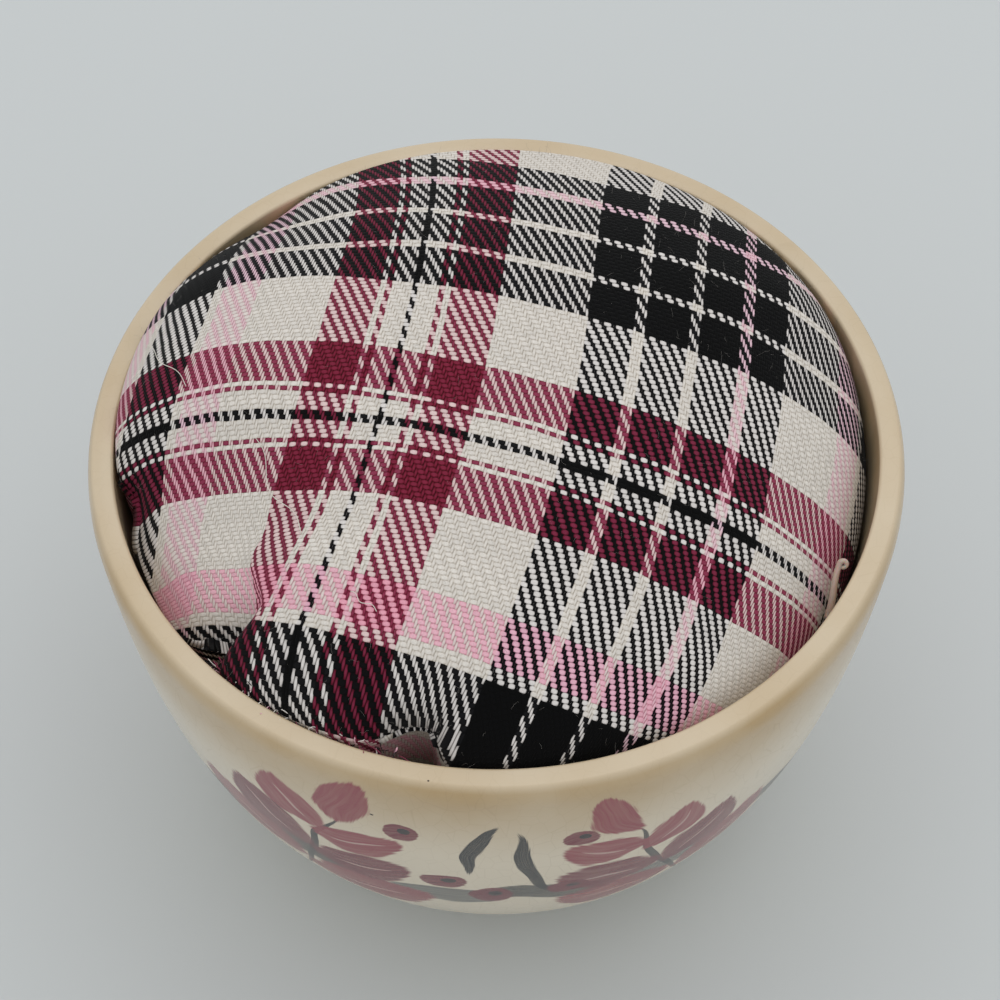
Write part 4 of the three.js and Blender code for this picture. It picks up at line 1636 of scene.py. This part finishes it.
@dataclass(frozen=True)
class Strands:
    """Thin curled strands that stand off a surface, grown by Geometry Nodes."""

    name: str
    number: float  # strands on each square centimetre
    length: float  # length of the longest, in millimetres
    radius: float  # radius of each, in millimetres
    lean: float  # how far they lean from the surface's normal, in degrees
    curl: float  # how far they wander, in millimetres
    wave: float = 1.25  # length over which they wander, in millimetres
    shortest: float = 0.25  # length of the shortest against the longest
    points: int = 7  # points along each
    sides: int = 4  # sides of each
    shade_seed: int = 3  # seed of the chance that gives each its shade

    def placed(self, tree: Tree, given: Any) -> Node:
        """Strands as straight lines of chance length and lean, each with a shade from 0 to 1.

        Args:
            tree: The strands' node tree.
            given: The tree's inputs.

        Returns:
            The instances.
        """
        seed = given["Seed"]
        spots = add(tree, "GeometryNodeDistributePointsOnFaces", {
            "Mesh": given["Surface"], "Density": given["Density"], "Seed": seed}).outputs
        line = add(tree, "GeometryNodeCurvePrimitiveLine", {"Start": (0, 0, 0), "End": (0, 0, 1)})
        fine = add(tree, "GeometryNodeResampleCurve", {"Curve": line, "Count": self.points})
        back = add(tree, "Math", (given["Lean"], -1.0), operation="MULTIPLY")
        low = add(tree, "CombineXYZ", (back, back))
        high = add(tree, "CombineXYZ", (given["Lean"], given["Lean"]))
        tilt = add(tree, "FunctionNodeRandomValue", {0: low, 1: high, "Seed": seed}, data_type="FLOAT_VECTOR")
        turned = add(tree, "FunctionNodeEulerToRotation", (tilt,))
        facing = add(tree, "FunctionNodeRotateRotation", (spots["Rotation"], turned),
                     rotation_space="LOCAL")
        chance = add(tree, "FunctionNodeRandomValue", {2: self.shortest, 3: 1.0, "Seed": seed})
        size = add(tree, "Math", (chance, given["Length"]), operation="MULTIPLY")
        lines = add(tree, "GeometryNodeInstanceOnPoints", {
            "Points": spots["Points"], "Instance": fine, "Rotation": facing, "Scale": size})
        shade = add(tree, "FunctionNodeRandomValue", {2: 0.0, 3: 1.0, "Seed": self.shade_seed})
        return add(tree, "GeometryNodeStoreNamedAttribute", {
            "Geometry": lines, "Name": "shade", "Value": shade}, domain="INSTANCE")

    def grower(self, finish: Finish) -> Tree:
        """The node tree that grows strands on a mesh.

        Args:
            finish: The strands' material.

        Returns:
            The tree, with its sizes as named inputs.
        """
        inputs = {"Surface": "Geometry", "Density": "Float", "Length": "Float", "Radius": "Float",
                  "Lean": "Float", "Curl": "Float", "Seed": "Int"}
        tree = new_group(self.name, "GeometryNodeTree", inputs, ("Strands", "Geometry"))
        given = add(tree, "NodeGroupInput").outputs
        loose = add(tree, "GeometryNodeRealizeInstances", (self.placed(tree, given),))
        place = add(tree, "GeometryNodeInputPosition")
        noise = add(tree, "TexNoise", {
            "Vector": place, "Scale": 1 / (self.wave * MM), "Detail": 1.0}).outputs["Color"]
        centred = add(tree, "VectorMath", (noise, NOISE_MIDDLE), operation="SUBTRACT")
        share = add(tree, "GeometryNodeSplineParameter").outputs["Factor"]
        reach = add(tree, "Math", (share, given["Curl"]), operation="MULTIPLY")
        wander = add(tree, "VectorMath", {0: centred, "Scale": reach}, operation="SCALE")
        curled = add(tree, "GeometryNodeSetPosition", {"Geometry": loose, "Offset": wander})
        ring = add(tree, "GeometryNodeCurvePrimitiveCircle", {
            "Resolution": self.sides, "Radius": given["Radius"]})
        tubes = add(tree, "GeometryNodeCurveToMesh", {
            "Curve": curled, "Profile Curve": ring, "Fill Caps": True})
        whole = add(tree, "GeometryNodeRealizeInstances", (tubes,))
        dressed = add(tree, "GeometryNodeSetMaterial", {"Geometry": whole, "Material": finish})
        add(tree, "NodeGroupOutput", (dressed,))
        return tree

    def build(self, surface: Piece, finish: Finish) -> Piece:
        """Grows the strands and keeps them as a plain mesh.

        Args:
            surface: The object that they stand on.
            finish: Their material.

        Returns:
            The strands.
        """
        tree = self.grower(finish)
        values = {"Density": self.number * SQUARE_CM_IN_SQUARE_M, "Length": self.length * MM,
                  "Radius": self.radius * MM, "Lean": math.radians(self.lean), "Curl": self.curl * MM,
                  "Seed": SEED}
        modifier = surface.modifiers.new(self.name, "NODES")
        modifier.node_group = tree
        for socket in tree.interface.items_tree:
            if socket.in_out == "INPUT" and socket.name in values:
                modifier[socket.identifier] = values[socket.name]
        graph = bpy.context.evaluated_depsgraph_get()
        mesh = bpy.data.meshes.new_from_object(surface.evaluated_get(graph))
        surface.modifiers.remove(modifier)
        piece = bpy.data.objects.new(self.name, mesh)
        bpy.context.scene.collection.objects.link(piece)
        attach(piece, ROOT)
        return piece


@dataclass(frozen=True)
class LooseFibre:
    """A stray fibre that lies on the cloth."""

    start: tuple[float, float]  # where it starts, as millimetres to the right and away
    end: tuple[float, float]
    bow: float  # how far it bows to the side
    waves: float = 2.2  # how often it swings from side to side, in half waves
    arch: float = 0.35  # how far its middle stands off the cloth
    steps: int = 24  # points along it

    def path(self, cover: CushionCover, lift: float) -> Array:
        """The fibre's centre line, a little above the cloth.

        Args:
            cover: The cloth.
            lift: Its height over the cloth at its ends.

        Returns:
            The line's points.
        """
        share = np.linspace(0, 1, self.steps)[:, None]
        run = np.array(self.end) - np.array(self.start)
        across = np.array([-run[1], run[0]]) / np.linalg.norm(run)
        swing = np.sin(np.pi * share) * np.cos(self.waves * np.pi * share)
        flat = self.start + share * run + self.bow * across * swing
        angle = np.degrees(np.arctan2(flat[:, 1], flat[:, 0]))
        out = np.hypot(flat[:, 0], flat[:, 1]) / cover.edge_radius(angle)
        height = cover.crown(angle, out)[1]
        return np.column_stack([flat, height + lift + self.arch * np.sin(np.pi * share[:, 0])])


@dataclass
class Lint:
    """Stray fibres on the cloth, seen as fine pale lines."""

    cover: CushionCover
    radius: float = 0.045  # radius of a fibre, in millimetres
    lift: float = 0.3  # height of its ends over the cloth, in millimetres
    sides: int = 6

    FIBRES: ClassVar[tuple[LooseFibre, ...]] = (
        LooseFibre((-38.7, 9.4), (-33.5, 0.9), 0.5),
        LooseFibre((-25.7, -6.0), (-20.4, -18.4), 0.9),
        LooseFibre((-15.0, -26.0), (-12.3, -28.3), 0.4),
    )

    def build(self, finish: Finish) -> Piece:
        """Makes the fibres as thin tubes.

        Args:
            finish: Their material.

        Returns:
            The fibres as one piece.
        """
        paths = [fibre.path(self.cover, self.lift) for fibre in self.FIBRES]
        tubes = [tube(path, np.full(len(path), self.radius), self.sides) for path in paths]
        piece = make_piece("stray_fibres", *joined(tubes), finish)
        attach(piece, ROOT)
        return piece


@dataclass
class RawEdge:
    """The cloth's cut edge at the front left, which frays. Sizes are in millimetres."""

    cover: CushionCover
    first: float = 222.0  # direction in which the edge starts to show, in degrees from +X
    last: float = 256.0  # direction in which it ends
    band: float = 0.5  # width of the strip that frays
    slope: float = 0.35  # how much higher its inner side lies
    below: float = 0.2  # how far its outer side lies below the shoulder
    wall_gap: float = 0.55  # its room beside the wall
    steps: int = 60  # points along it

    def strip(self) -> Piece:
        """A narrow strip along the edge, facing up and towards the wall.

        Returns:
            The strip, for the yarn ends to grow on.
        """
        angle = np.linspace(self.first, self.last, self.steps)
        turn = np.radians(angle)
        height = self.cover.cup.height + self.cover.station("height", angle) - self.below
        radius = self.cover.cup.wall_radius(height) - self.wall_gap
        rows = [round_axis(radius, turn, height), round_axis(radius - self.band, turn, height + self.slope)]
        count = self.steps
        faces = [(i, i + 1, count + i + 1, count + i) for i in range(count - 1)]
        mesh = bpy.data.meshes.new("raw_edge_strip")
        mesh.from_pydata((np.concatenate(rows) * MM).tolist(), [], faces)
        return bpy.data.objects.new("raw_edge_strip", mesh)

    def build(self, strands: Strands, finish: Finish) -> Piece:
        """Grows the yarn ends on the strip.

        Args:
            strands: Their sizes.
            finish: Their material.

        Returns:
            The yarn ends.
        """
        strip = self.strip()
        bpy.context.scene.collection.objects.link(strip)
        piece = strands.build(strip, finish)
        bpy.data.objects.remove(strip)
        return piece


@dataclass
class Studio:
    """The plain floor, the soft light and the camera."""

    # The camera's place from the photograph, in millimetres.
    camera_place: tuple[float, float, float] = (0.0, -204.0, 330.0)
    look_at: tuple[float, float, float] = (0.38, -8.42, 58.0)  # the point that it looks at, in millimetres
    lens: float = 111.34  # its focal length in millimetres
    sensor: float = 36.0  # width of its sensor in millimetres
    clip_start: float = 0.01  # distance from which it sees, in metres
    floor_size: float = 3.0  # side of the floor in metres
    floor_roughness: float = 0.7
    lamp_place: tuple[float, float, float] = (0.08, 0.2, 0.8)  # the lamp's place in metres
    lamp_size: float = 0.8  # side of the lamp in metres
    lamp_power: float = 1.45  # its power in watts
    # Colour of the light from all round, in linear light.
    sky: tuple[float, float, float, float] = (0.97, 0.985, 1.0, 1.0)
    sky_strength: float = 0.81

    def floor(self) -> None:
        """A pale floor, large enough to fill the view."""
        material, tree, shader = new_finish("Plain matt floor")
        feed(tree, shader, {"Base Color": linear(Hue.FLOOR), "Roughness": self.floor_roughness})
        half = self.floor_size / 2 / MM
        corners = np.array([(-half, -half, 0), (half, -half, 0), (half, half, 0), (-half, half, 0)], float)
        make_piece("studio_floor", corners, [(0, 1, 2, 3)], material)

    def aim(self, name: str, data: bpy.types.ID, place: Vector) -> Piece:
        """Puts a lamp or a camera in its place, pointing at the cup.

        Args:
            name: The object's name.
            data: The lamp or the camera.
            place: Its place in metres.

        Returns:
            The object.
        """
        thing = bpy.data.objects.new(name, data)
        thing.location = place
        thing.rotation_euler = (Vector(self.look_at) * MM - place).to_track_quat("-Z", "Y").to_euler()
        bpy.context.scene.collection.objects.link(thing)
        return thing

    def build(self) -> None:
        """Makes the floor, the lamp, the world and the camera."""
        self.floor()
        lamp = bpy.data.lights.new("overhead_softbox", "AREA")
        lamp.shape = "SQUARE"
        lamp.size = self.lamp_size
        lamp.energy = self.lamp_power
        self.aim("overhead_softbox", lamp, Vector(self.lamp_place))
        world = bpy.data.worlds.new("Soft surroundings")
        world.use_nodes = True
        feed(world.node_tree, world.node_tree.nodes["Background"],
             {"Color": self.sky, "Strength": self.sky_strength})
        scene = bpy.context.scene
        scene.world = world
        scene.view_settings.view_transform = "Standard"
        camera = bpy.data.cameras.new("photo_camera")
        camera.lens = self.lens
        camera.sensor_width = self.sensor
        camera.clip_start = self.clip_start
        scene.camera = self.aim("photo_camera", camera, Vector(self.camera_place) * MM)


def main() -> None:
    """Builds every piece of the pincushion and the studio round it."""
    logging.basicConfig(level=logging.INFO, format="%(message)s")
    Studio().build()
    cup = Cup()
    twill = Twill()
    cover = CushionCover(cup, twill)
    cloth = cover.build(twill.build())
    fibre = PlainFinish("Pale cotton fibre", Hue.LOOSE_FIBRE, roughness=0.8, grain=0.4)
    wadding = PlainFinish("Off-white wadding", Hue.WADDING, roughness=1.0, grain=2.5)
    glue = PlainFinish("Milky hot-melt glue", Hue.GLUE, roughness=0.3, grain=1.2, translucence=0.5, reach=0.8)
    fuzz = PlainFinish("Fine cotton fuzz", Hue.FUZZ, roughness=0.9, grain=0.6)
    yarn_ends = Strands("frayed_yarn_ends", number=600.0, length=2.0, radius=0.06, lean=70.0, curl=0.9)
    fuzz_hairs = Strands("cloth_fuzz", number=14.0, length=1.4, radius=0.007, lean=65.0, curl=1.5)
    pieces = [
        cup.build(Glaze().build(cup)),
        cloth,
        Filling(cover).build(wadding.build()),
        Glue(cup).build(glue.build()),
        RawEdge(cover).build(yarn_ends, YarnEnds().build()),
        fuzz_hairs.build(cloth, fuzz.build()),
        Lint(cover).build(fibre.build()),
    ]
    for piece in pieces:
        LOG.info("%s: %d faces", piece.name, len(piece.data.polygons))


if __name__ == "__main__":
    main()
